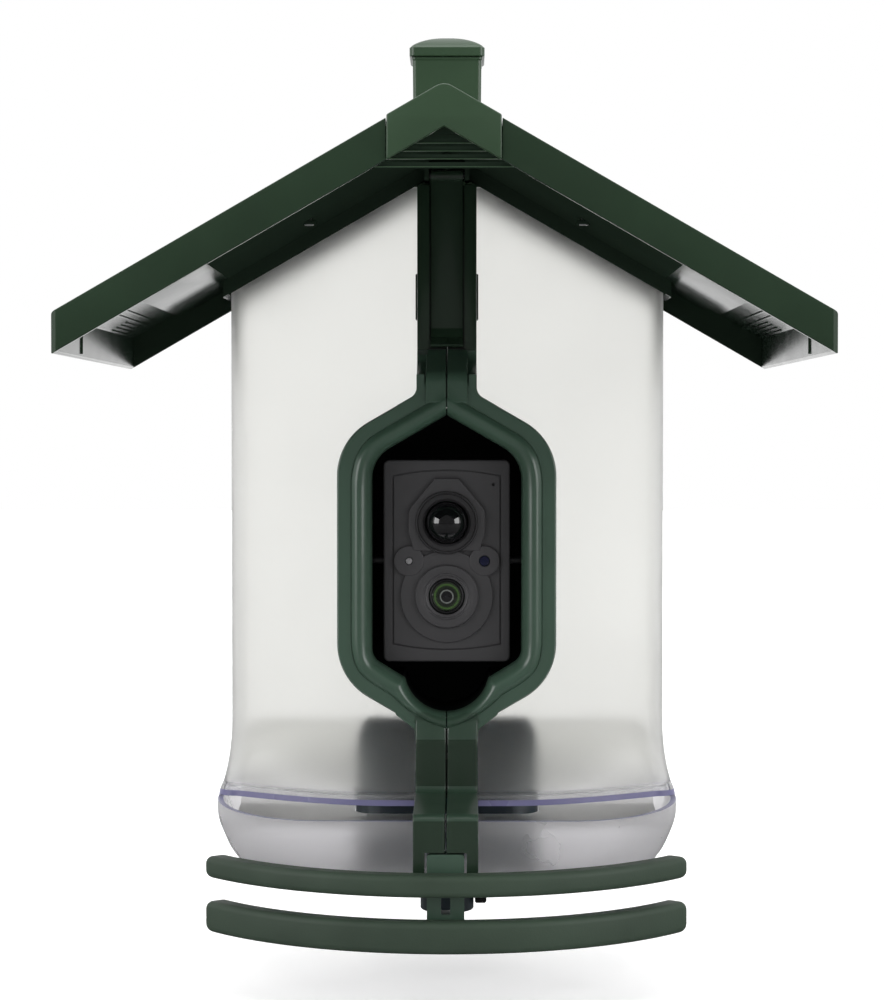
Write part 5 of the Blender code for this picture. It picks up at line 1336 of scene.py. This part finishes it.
def makeChimney():
    r = roof
    centre = (0.0, r["chimneyBack"])
    low = roofLine(r["chimneyBase"], -r["capStep"]) - 0.003
    rings = []
    for half, z in ((r["chimneyBase"], low), (r["chimneyBase"], shared["ridge"]),
                    (r["chimneyTop"] - 0.0003, r["chimneyHeight"] - 0.0012),
                    (r["chimneyTop"], r["chimneyHeight"] - 0.0008),
                    (r["chimneyTop"], r["chimneyHeight"])):
        rings.append([(x, y, z) for x, y in roundBox(half, half, r["chimneyRound"], centre, 8)])
    stack = loft("chimneyStack", rings, finishes["green"])
    bore = r["chimneyBase"] - r["chimneyWall"]
    hollow = plate("chimneyBore", [roundBox(bore, bore, 0.0012, centre, 6)], "XY", low - past,
                   r["chimneyHeight"] + past)
    reach = r["chimneyTop"] + past
    lift = -r["capStep"] - shared["gap"]
    saddle = roundCorners([(-reach, roofLine(reach, lift), 0.0),
                           (0.0, roofLine(0.0, lift), r["apexRound"]),
                           (reach, roofLine(reach, lift), 0.0), (reach, low - 0.003, 0.0),
                           (-reach, low - 0.003, 0.0)], 12)
    cut(stack, hollow, plate("chimneySaddle", [saddle], "XZ", centre[1] - reach, centre[1] + reach))
    settle(stack, 30.0)
    seat(stack, "chimney", "roof")

    base = r["chimneyHeight"] + shared["gap"]
    levels = [(r["lidHalf"] - 0.0004, base), (r["lidHalf"], base + 0.0004),
              (r["lidHalf"], base + r["lidRim"] - 0.0005)]
    for i in range(11):
        turn = math.pi / 2.0 * i / 10.0
        levels.append((r["lidHalf"] - 0.0005 - 0.0140 * (1.0 - math.cos(turn)) ** 0.8,
                       base + r["lidRim"] + r["lidDome"] * math.sin(turn) ** 1.25))
    rings = [[(x, y, z) for x, y in roundBox(half, half, min(r["lidRound"], half * 0.5), centre, 8)]
             for half, z in levels]
    lid = loft("chimneyLid", rings, finishes["green"], True, True, 30.0)
    plug = r["chimneyBase"] - r["chimneyWall"] - shared["gap"]
    ring = [roundBox(plug, plug, 0.0012, centre, 6),
            roundBox(plug - r["plugWall"], plug - r["plugWall"], 0.0006, centre, 6)]
    join(lid, plate("chimneyPlug", ring, "XY", base - r["plugDepth"], base + r["plugWall"]))
    settle(lid, 30.0)
    seat(lid, "chimney_cap", "chimney_cap")


def makeTongue():
    r = roof
    back = r["pinBack"] + r["tongueThick"] / 2.0
    front, reach = back - r["tongueThick"], r["lipReach"]
    foot, lip = r["tongueFoot"], r["tongueFoot"] + r["lipHeight"]
    outline = roundCorners([
        (back, r["pinHeight"], 0.0), (front, r["pinHeight"], 0.0), (front, lip, 0.0012),
        (front - reach * 0.35, lip - r["lipHeight"] * 0.45, 0.0020),
        (front - reach, foot + r["tongueThick"] * 0.5, 0.0005), (front - reach * 0.8, foot, 0.0005),
        (back - reach * 0.4, lip - r["lipHeight"] * 0.8, 0.0015), (back, lip, 0.0015)], 6)
    # the tongue is painted shade with the darker green, like the column's channel it sits in
    blade = plate("roofTongue", [outline], "YZ", -r["tongueHalf"], r["tongueHalf"], finishes["paintedShadeSatin"],
                  bevel=0.0003)
    pin = (r["pinBack"], r["pinHeight"])
    join(blade, rod("tongueBarrel", r["barrel"], (-r["tongueHalf"] + 0.0001, *pin),
                    (r["tongueHalf"] - 0.0001, *pin), sides=40))
    cut(blade, rod("tongueBore", r["pinRadius"] + shared["gap"], (-0.01, *pin), (0.01, *pin)))
    settle(blade)
    seat(blade, "roof_tongue", "tongue")


# Screws, post and knob

def screwTree():
    # pan head screws with a cross recess and a ridged shank, one on each point
    wires, given = openTree("screws", {"Head": "Float", "Tall": "Float", "Shank": "Float",
                                       "Ridges": "Int", "Pitch": "Float", "Turn": "Vector",
                                       "Finish": "Material"}, True)

    def times(source, factor):
        return wires.reckon("MULTIPLY", source, factor)

    def cone(low, high, depth, sides):
        return wires.add("GeometryNodeMeshCone", {
            "Vertices": sides, "Radius Bottom": low, "Radius Top": high, "Depth": depth})["Mesh"]

    def slide(mesh, height):
        away = wires.vector(Z=height)
        return wires.add("GeometryNodeTransform", {"Geometry": mesh, "Translation": away})["Geometry"]

    head, tall, shank, pitch = (given[name] for name in ("Head", "Tall", "Shank", "Pitch"))
    dome = slide(cone(times(head, 0.80), head, tall, 40), times(tall, -1.0))
    recess = wires.add("GeometryNodeMeshBoolean", {"Mesh 1": dome}, operation="DIFFERENCE")["Mesh"]
    for long, wide in ((1.15, 0.26), (0.26, 1.15)):
        size = wires.vector(X=times(head, long), Y=times(head, wide), Z=times(tall, 1.1))
        bar = wires.add("GeometryNodeMeshCube", {"Size": size})["Mesh"]
        wires.link(slide(bar, times(tall, -1.0)), recess.node.inputs["Mesh 2"])
    line = wires.add("GeometryNodeMeshLine",
                     {"Count": given["Ridges"], "Offset": wires.vector(Z=pitch)})["Mesh"]
    ridge = cone(shank, times(shank, 0.80), pitch, 24)
    thread = wires.add("GeometryNodeInstanceOnPoints", {"Points": line, "Instance": ridge})["Instances"]
    both = wires.add("GeometryNodeJoinGeometry", {"Geometry": recess})["Geometry"]
    wires.link(thread, both.node.inputs["Geometry"])
    copies = wires.add("GeometryNodeInstanceOnPoints", {
        "Points": given["Geometry"], "Instance": both, "Rotation": given["Turn"]})
    return closeTree(wires, copies, given["Finish"])


def numbered(stem, count):
    return ["%s_%d" % (stem, i + 1) for i in range(count)]


screws = {
    "pitch": 0.0005,
    "ways": {"+Z": (0.0, 0.0, 0.0), "-Y": (math.pi / 2.0, 0.0, 0.0), "-X": (0.0, -math.pi / 2.0, 0.0)},
    # nodes, body, way it points, head, its height, shank, and how far the head sits in
    "groups": {
        "roofScrews": (numbered("roof_screw", 4), "roof", "+Z", 0.0021, 0.0014, 0.0011, 0.0024),
        "baseScrews": (numbered("base_screw", 4), "root", "+Z", 0.0021, 0.0014, 0.0011, 0.0),
        "caseScrews": (numbered("case_screw", 4), "camera", "-Y", 0.0021, 0.0011, 0.0011, 0.0),
        "frameScrews": (
            ["frame_screw_upper", "frame_screw_lower"], "root", "-X", 0.0026, 0.0014, 0.0014, 0.0),
        "perchScrews": (
            ["perch_screw_upper", "perch_screw_lower"], "perch", "-Y", 0.0021, 0.0014, 0.0011, 0.0),
    },
}

post = {
    "front": -0.0934, "back": -0.0840, "half": 0.0068, "low": 0.0030, "top": 0.0370, "chamfer": 0.0012,
    "slotHalf": 0.0017, "slotLow": 0.0152, "slotTop": 0.0215, "bores": (0.0268, 0.00815),
    "knobRadius": 0.0040, "knobHeight": 0.0062, "knobLong": 0.0046, "shankRadius": 0.0020, "flutes": 14,
}


def makePost():
    q = post
    outline = roundCorners([(-q["half"], q["low"], 0.0005), (q["half"], q["low"], 0.0005),
                            (q["half"], q["top"], q["chamfer"]), (-q["half"], q["top"], q["chamfer"])], 5)
    slot = roundBox(q["slotHalf"], (q["slotTop"] - q["slotLow"]) / 2.0, 0.0006,
                    (0.0, (q["slotTop"] + q["slotLow"]) / 2.0), 5)
    pillar = plate("perchPost", [outline, slot], "XZ", q["front"], q["back"], finishes["ringGreen"],
                   bevel=0.0006, bevelSteps=3)
    for i, height in enumerate(q["bores"]):
        cut(pillar, rod("perchBore%d" % i, screwHole, (0.0, q["front"] - past, height),
                        (0.0, q["back"] + past, height), sides=24))
    settle(pillar)
    seat(pillar, "perch_post", "perch")


def makeKnob():
    # fluted thumb knob on the clamp's shank
    q = post
    low, high = cadCorners("clamp_screw")[:2]
    start = high.x - q["knobLong"]
    rings = []
    for share, reach in ((0.0, 0.86), (0.10, 1.0), (0.88, 1.0), (1.0, 0.84)):
        ring = []
        for i in range(q["flutes"] * 8):
            turn = 2.0 * math.pi * i / (q["flutes"] * 8)
            radius = q["knobRadius"] * reach * (0.945 + 0.055 * math.cos(q["flutes"] * turn))
            ring.append((start + q["knobLong"] * share, radius * math.cos(turn),
                         q["knobHeight"] + radius * math.sin(turn)))
        rings.append(ring)
    knob = loft("clampKnob", rings, finishes["rubber"], True, True)
    shank = rod("clampShank", q["shankRadius"], (low.x, 0.0, q["knobHeight"]),
                (start + 0.001, 0.0, q["knobHeight"]), sides=32)
    join(knob, shank)
    dish = rod("clampDish", q["knobRadius"] * 0.5, (high.x - 0.0006, 0.0, q["knobHeight"]),
               (high.x + past, 0.0, q["knobHeight"]), sides=32)
    cut(knob, dish)
    settle(knob)
    seat(knob, "clamp_screw", "clamp_screw")


def makeScrews():
    tree = screwTree()
    for name, (nodes, body, way, head, tall, shank, lift) in screws["groups"].items():
        axis, sign = "XYZ".index(way[1]), 1.0 if way[0] == "+" else -1.0
        base = bpy.data.meshes.new(name + "Places")
        places = []
        for node in nodes:
            low, high, place = cadCorners(node)
            start = low[axis] if sign > 0 else high[axis]
            place[axis] = start + sign * (tall + lift)
            length = high[axis] - low[axis] - tall - lift
            places.append(place)
        base.from_pydata(places, [], [])
        ridges = max(2, int(length / screws["pitch"]))
        group = grow(name, tree, {"Head": head, "Tall": tall, "Shank": shank, "Ridges": ridges,
                                  "Pitch": length / ridges, "Turn": screws["ways"][way],
                                  "Finish": finishes["steel"]}, base)
        seat(group, nodes, body)


# Pole socket, ramp and the camera's back

hidden = {
    "domeHalf": 0.0360, "domeFront": -0.0220, "domeBack": 0.0170, "domeCorner": 0.0140, "domeTop": 0.0760,
    "leanFrom": 0.0440, "lean": 0.0215, "domeRound": 0.0130, "domeWall": 0.0024, "flange": 0.0070,
    "flangeBack": 0.0024, "flangeThick": 0.0020, "tubeRadius": 0.0106, "tubeBore": 0.0082,
    "boreDepth": 0.0500, "tubeTop": 0.0530, "tubeRib": 0.0024, "lip": 0.0005, "rampHalf": 0.0820,
    "rampCorner": 0.0070, "rampTop": 0.0730, "rampKnee": 0.0430, "rampKneeBack": -0.0030,
    "rampFront": -0.0360, "rampFrontHeight": 0.0400, "rampThick": 0.0018, "caseWall": 0.0020,
    "postSize": 0.0040, "grips": 7, "gripPitch": 0.0042, "gripWide": 0.0012, "gripDeep": 0.0005,
    "buttonOut": 0.0145, "buttonRadius": 0.0028, "portHalf": 0.0045, "portDeep": 0.0016,
    "coverProud": 0.0003,
}


def domeRing(inset, lean, corner):
    h = hidden
    front, back = h["domeFront"] + inset + lean, h["domeBack"] - inset
    deep = back - front
    return roundBox(h["domeHalf"] - inset, deep / 2.0, min(corner - inset, deep * 0.4),
                    (0.0, (back + front) / 2.0), 10)


def makeSocket():
    h = hidden
    top = tray["bottom"] - shared["gap"]
    low = top - h["flangeThick"]
    tall = h["domeTop"] - h["leanFrom"]
    levels = [(0.0, 0.0, low), (0.0, 0.0, h["leanFrom"] - 0.002)]
    for i in range(13):
        turn = math.pi / 2.0 * i / 12.0
        z = h["domeTop"] - h["domeRound"] * (1.0 - math.sin(turn))
        levels.append((h["domeRound"] * (1.0 - math.cos(turn)) * 0.4, h["lean"] * (z - h["leanFrom"])
                       / tall, z))
    rings = [[(x, y, z) for x, y in domeRing(inset, lean, h["domeCorner"])] for inset, lean, z in levels]
    socket = loft("poleSocket", rings, finishes["deepGreen"])
    room = []
    for inset, lean, z in levels:
        z = z - past if z == low else z - h["domeWall"]
        room.append([(x, y, z) for x, y in domeRing(inset + h["domeWall"], lean, h["domeCorner"])])
    front, back = h["domeFront"] - h["flange"], h["domeBack"] + h["flangeBack"]
    outline = roundBox(h["domeHalf"] + h["flange"], (back - front) / 2.0, h["domeCorner"],
                       (0.0, (back + front) / 2.0), 10)
    join(socket, plate("socketFlange", [outline], "XY", low, top, bevel=0.0004))
    cut(socket, loft("socketRoom", room))
    x = h["domeHalf"] + h["flange"] / 2.0
    for i, (side, y) in enumerate(((1, h["domeBack"]), (-1, h["domeBack"]), (-1, h["domeFront"]),
                                   (1, h["domeFront"]))):
        y += (1.0 if y < 0.0 else -1.0) * h["domeCorner"] * 0.5
        cut(socket, rod("socketHole%d" % i, screwHole, (side * x, y, low - past),
                        (side * x, y, top + past), sides=24))
    settle(socket)
    seat(socket, "pole_socket", "root")

    lip, radius, bore = h["lip"], h["tubeRadius"], h["tubeBore"]
    profile = [(0.0, h["boreDepth"]), (bore, h["boreDepth"]), (bore, lip), (bore + lip, 0.0),
               (radius - lip, 0.0), (radius, lip), (radius, h["tubeTop"] - lip),
               (radius - lip, h["tubeTop"]), (0.0, h["tubeTop"])]
    tube = turned("poleTube", profile, (0.0, 0.0, 0.0), (0.0, 0.0, 1.0), finishes["deepGreen"], 72)
    reach = h["domeHalf"] - h["domeWall"] - shared["gap"]
    for side in (-1, 1):
        edges = between(side, bore + 0.0006, reach)
        join(tube, block("tubeRib%d" % side, (edges[0], -h["tubeRib"] / 2.0, low),
                         (edges[1], h["tubeRib"] / 2.0, h["boreDepth"] - 0.0006)))
    cut(tube, rod("tubeClampHole", 0.0023, (bore * 0.7, 0.0, post["knobHeight"]),
                  (radius + past, 0.0, post["knobHeight"]), sides=24))
    settle(tube)
    seat(tube, "pole_tube", "root")


def makeRamp():
    h = hidden
    thick = h["rampThick"]
    back = cadCorners("seed_ramp")[1].y
    outline = roundCorners([
        (back, h["rampTop"], 0.0), (back, h["rampTop"] - thick * 1.5, 0.0),
        (h["rampKneeBack"], h["rampKnee"] - thick, 0.0060),
        (h["rampFront"], h["rampFrontHeight"] - thick, 0.0),
        (h["rampFront"], h["rampFrontHeight"], 0.0006), (h["rampKneeBack"], h["rampKnee"], 0.0060)], 8)
    ramp = plate("seedRamp", [outline], "YZ", -h["rampHalf"], h["rampHalf"], finishes["frosted"],
                 bevel=0.0003)
    hole = domeRing(-shared["gap"], 0.0, h["domeCorner"] * 0.5)
    cut(ramp, plate("rampHole", [hole], "XY", h["rampFrontHeight"] - 0.006, h["domeTop"] + past))
    for side in (-1, 1):
        x, y, cornerCut = side * (h["rampHalf"] + past), back + past, h["rampCorner"] + past
        corner = [(x, y), (x, y - cornerCut), (x - side * cornerCut, y)]
        cut(ramp, plate("rampCorner%d" % side, [corner], "XY", h["rampKnee"], h["rampTop"] + past))
    settle(ramp)
    seat(ramp, "seed_ramp", "root")


def makeCameraBack():
    h, c = hidden, camera
    low, high = cadCorners("camera_rear_case")[:2]
    mid = c["height"]
    outline = roundBox(c["halfWidth"], c["halfHeight"], c["corner"], (0.0, mid), 8)
    case = plate("cameraBack", [outline], "XZ", low.y, high.y, finishes["plate"], bevel=0.0007,
                 bevelSteps=3)
    inside = roundBox(c["halfWidth"] - h["caseWall"], c["halfHeight"] - h["caseWall"], 0.0012, (0.0, mid),
                      6)
    cut(case, plate("backRoom", [inside], "XZ", low.y - past, high.y - h["caseWall"]))
    x = c["halfWidth"] - h["caseWall"] - h["postSize"] * 0.45
    z = c["halfHeight"] - h["caseWall"] - h["postSize"] * 0.45
    for i, (px, pz) in enumerate(((x, mid + z), (-x, mid + z), (-x, mid - z), (x, mid - z))):
        join(case, rod("backPost%d" % i, h["postSize"] / 2.0, (px, low.y + 0.0005, pz),
                       (px, high.y - h["caseWall"] / 2.0, pz), sides=32))
        end = (px, high.y + past, pz)
        cut(case, rod("backBore%d" % i, screwHole, (px, high.y - 0.0075, pz), end, sides=24))
        cut(case, rod("backHead%d" % i, headHole, (px, high.y - 0.0014, pz), end, sides=32))
    for i in range(h["grips"]):
        place = mid + h["gripPitch"] * (i - (h["grips"] - 1) / 2.0)
        groove = roundBox(c["halfWidth"] * 0.55, h["gripWide"] / 2.0, h["gripWide"] / 2.0 - 0.00002,
                          (0.0, place), 6)
        cut(case, plate("backGrip%d" % i, [groove], "XZ", high.y - h["gripDeep"], high.y + past))
    floor = mid - c["halfHeight"]
    deep = h["portDeep"] + shared["gap"]
    half, top = h["portHalf"] + shared["gap"], floor + h["caseWall"] + past
    cut(case, block("portHole", (-half, -deep, floor - past), (half, deep, top)))
    cut(case, rod("buttonHole", h["buttonRadius"] + shared["gap"], (h["buttonOut"], 0.0, floor - past),
                  (h["buttonOut"], 0.0, top), sides=40))
    settle(case)
    seat(case, "camera_rear_case", "camera")


def makeCells():
    for name, node in (("cellLeft", "battery_cell_left"), ("cellRight", "battery_cell_right")):
        low, high, middle = cadCorners(node)
        radius = (high.x - low.x) / 2.0
        length = high.z - low.z
        crimp = length - 0.0035
        profile = [(0.0, 0.0), (radius - 0.0006, 0.0), (radius, 0.0006), (radius, crimp),
                   (radius - 0.0005, crimp + 0.0005), (radius - 0.0005, crimp + 0.0009),
                   (radius, crimp + 0.0014), (radius, length - 0.0016),
                   (radius - 0.0006, length - 0.0010), (radius * 0.35, length - 0.0010),
                   (radius * 0.35, length - 0.0002), (radius * 0.30, length), (0.0, length)]
        cell = turned(name, profile, (middle.x, middle.y, low.z), (0.0, 0.0, 1.0), finishes["wrap"], 48)
        addFinish(cell, "steel")
        for face in cell.data.polygons:
            if abs(face.normal.z) > 0.9:
                face.material_index = 1
        seat(cell, node, "camera")


def makeControls():
    h = hidden
    low, high, middle = cadCorners("power_button")
    radius, length = (high.x - low.x) / 2.0, high.z - low.z
    profile = [(0.0, length), (radius, length), (radius, 0.0006), (radius - 0.0002, 0.0003),
               (radius * 0.82, 0.0), (radius * 0.60, 0.0), (radius * 0.54, 0.0002), (0.0, 0.0002)]
    button = turned("powerButton", profile, (middle.x, middle.y, low.z), (0.0, 0.0, 1.0),
                    finishes["rubber"], 48)
    seat(button, "power_button", "power_button")

    low, high, middle = cadCorners("port_cover")
    half, deep = (high.x - low.x) / 2.0, (high.y - low.y) / 2.0
    flap = plate("portCover", [roundBox(half, deep, 0.0016, (0.0, middle.y), 8)], "XY",
                 low.z + h["coverProud"], high.z, finishes["rubber"], bevel=0.0003, bevelSteps=3)
    nub = plate("coverNub", [roundBox(half * 0.5, 0.0007, 0.0006, (0.0, low.y + 0.0018), 6)], "XY", low.z,
                low.z + h["coverProud"] + 0.0003)
    join(flap, nub)
    settle(flap)
    seat(flap, "port_cover", "port_cover")


def makeElectronics():
    low, high, middle = cadCorners("usb_port")
    half, deep = (high.x - low.x) / 2.0, (high.y - low.y) / 2.0
    rings = [roundBox(half - wall, deep - wall, deep * 0.9 - wall, (0.0, middle.y), 8)
             for wall in (0.0, 0.0004)]
    shell = plate("usbPort", rings, "XY", low.z, high.z, finishes["steel"])
    inside, thin = half - 0.0003, 0.0003
    join(shell, block("usbTongue", (-inside, -thin, low.z + 0.001), (inside, thin, high.z)))
    join(shell, block("usbBack", (-inside, low.y + thin, high.z - 0.0008),
                      (inside, high.y - thin, high.z)))
    settle(shell)
    seat(shell, "usb_port", "camera")

    low, high = cadCorners("main_board")[:2]
    half, tall = (high.x - low.x) / 2.0, (high.z - low.z) / 2.0
    outline = roundBox(half, tall, 0.0015, (0.0, (low.z + high.z) / 2.0), 6)
    board = plate("mainBoard", [outline], "XZ", low.y, high.y, finishes["board"])
    for i, (sx, sz) in enumerate(((1, 0.3), (-1, 0.3), (-1, -0.3), (1, -0.3))):
        x, z = sx * (half - 0.002), camera["height"] + sz * tall
        cut(board, rod("boardHole%d" % i, 0.0011, (x, low.y - past, z), (x, high.y + past, z), sides=20))
    settle(board)
    seat(board, "main_board", "camera")

    low, high, middle = cadCorners("pir_sensor")
    radius, length = (high.x - low.x) / 2.0, high.y - low.y
    profile = [(0.0, 0.0), (radius, 0.0), (radius, 0.0003), (radius - 0.0003, 0.0005),
               (radius - 0.0003, length - 0.0004), (radius - 0.0007, length), (radius * 0.55, length),
               (radius * 0.55, length - 0.0002), (0.0, length - 0.0002)]
    can = turned("pirSensor", profile, (middle.x, high.y, middle.z), (0.0, -1.0, 0.0), finishes["steel"],
                 48)
    seat(can, "pir_sensor", "camera")


def makeSeal():
    c = camera
    mid = c["height"]
    low, high = cadCorners("case_gasket")[:2]
    ring = [roundBox(c["halfWidth"], c["halfHeight"], c["corner"], (0.0, mid), 8),
            roundBox(c["halfWidth"] - 0.0016, c["halfHeight"] - 0.0016, c["corner"] * 0.5, (0.0, mid), 8)]
    seal = plate("caseSeal", ring, "XZ", low.y, high.y, finishes["rubber"], bevel=0.00012)
    seat(seal, "case_gasket", "camera")


makeSilo()
makeTray()
makeFrameHalf(-1)
makeFrameHalf(1)
makePerches()
print("silo, tray, frame and perches")
makePocket()
makeCameraFront()
makeCameraEyes()
makePins()
print("camera and its pocket")
makeWing(-1)
makeWing(1)
makeRidgeCap()
makeLid()
makeLouvre()
makeChimney()
makeTongue()
makeScrews()
makePost()
makeKnob()
print("roof, chimney and screws")
makeSocket()
makeRamp()
makeCameraBack()
makeCells()
makeControls()
makeElectronics()
makeSeal()
print("socket, ramp and camera back")

# Stage, lamps and camera

stage = {"floorSize": 6.0, "floorDrop": 0.0205, "skyLight": 0.60, "frontMirror": 0.15, "sidePower": 9.0,
         "topPower": 8.0, "backPower": 0.3, "whiteFrom": 0.26, "whiteBy": 0.55, "floorPaint": 0.86,
         "floorMirrored": 0.12, "nearGlow": 0.46, "mirrorFrom": -0.80, "mirrorBy": -0.15}


def makeStage():
    low = cadBox[0][2] - stage["floorDrop"]
    work = bmesh.new()
    bmesh.ops.create_grid(work, x_segments=2, y_segments=2, size=stage["floorSize"])
    bmesh.ops.translate(work, vec=(0.0, 0.0, low - 0.0005), verts=work.verts)
    floor = addObject("paleFloor", finishMesh(work, "paleFloor"))
    paint = Paint("paleFloorPaint")
    rays = paint.add("ShaderNodeLightPath")
    glossy = rays["Is Glossy Ray"]
    start, end = stage["whiteFrom"], stage["whiteBy"]
    # glossy rays meet a darker floor, so that the front faces don't mirror it white
    paint.set("Base Color", paint.ramp(glossy, stage["floorPaint"], stage["floorMirrored"], 0.0, 1.0))
    paint.set("Roughness", 0.9)
    paint.set("Emission Color", (1.0, 1.0, 1.0, 1.0))
    back = paint.ramp(paint.split(paint.place)["Y"], 0.0, 1.0, start, end)
    behind = paint.reckon("MULTIPLY", glossy, back)
    seen = paint.reckon("MAXIMUM", rays["Is Camera Ray"], rays["Is Transmission Ray"])
    far = paint.add("ShaderNodeVectorMath", {0: paint.place}, operation="LENGTH")["Value"]
    glow = paint.ramp(far, stage["nearGlow"], 1.0, start, end)
    paint.set("Emission Strength", paint.reckon("MULTIPLY", paint.reckon("MAXIMUM", seen, behind), glow))
    floor.data.materials.append(paint.material)

    world = bpy.data.worlds.new("softStudio")
    bpy.context.scene.world = world
    world.use_nodes = True
    sky = Wires(world.node_tree)
    rays = sky.add("ShaderNodeLightPath")
    glossy = rays["Is Glossy Ray"]
    seen = sky.reckon("MAXIMUM", rays["Is Camera Ray"], rays["Is Transmission Ray"])
    level = sky.ramp(sky.reckon("MAXIMUM", seen, glossy), stage["skyLight"], 1.0, 0.0, 1.0)
    # glossy plastic mirrors dark in front of the object, and white beside and behind it
    depth = sky.split(sky.add("ShaderNodeTexCoord")["Object"])["Y"]
    facing = sky.ramp(depth, stage["frontMirror"], 1.0, stage["mirrorFrom"], stage["mirrorBy"])
    background = world.node_tree.nodes["Background"].inputs
    background["Color"].default_value = (1.0, 1.0, 1.0, 1.0)
    sky.link(sky.add("ShaderNodeMix", {"Factor": glossy, "A": level, "B": facing})["Result"],
             background["Strength"])

    def lamp(name, place, aim, size, power):
        data = bpy.data.lights.new(name, "AREA")
        data.shape = "RECTANGLE"
        data.size, data.size_y = size
        data.energy = power
        thing = addObject(name, data)
        thing.location = place
        thing.rotation_mode = "QUATERNION"
        thing.rotation_quaternion = (Vector(aim) - Vector(place)).to_track_quat("-Z", "Y")

    lamp("leftSoftbox", (-1.15, -0.75, 0.55), (0.0, -0.05, 0.16), (0.7, 1.0), stage["sidePower"])
    lamp("rightSoftbox", (1.15, -0.75, 0.55), (0.0, -0.05, 0.16), (0.7, 1.0), stage["sidePower"])
    lamp("backSoftbox", (0.0, 1.30, 0.45), (0.0, 0.0, 0.16), (1.2, 0.9), stage["backPower"])
    lamp("topSoftbox", (0.0, -0.25, 1.35), (0.0, 0.0, 0.25), (1.1, 0.8), stage["topPower"])


view = {"place": (0.0059, -1.0, 0.189), "lens": 90.5, "yaw": 0.42, "pitch": 1.48}


def makeCamera():
    data = bpy.data.cameras.new("photoCamera")
    data.lens = view["lens"]
    data.sensor_width = 36.0
    data.sensor_fit = "AUTO"
    data.clip_start = 0.02
    data.clip_end = 60.0
    thing = addObject("photoCamera", data)
    thing.location = view["place"]
    thing.rotation_euler = (math.radians(90.0 - view["pitch"]), 0.0, math.radians(view["yaw"]))
    bpy.context.scene.camera = thing


bpy.context.scene.view_settings.view_transform = "Standard"
makeStage()
makeCamera()
print("stage, lamps and camera")
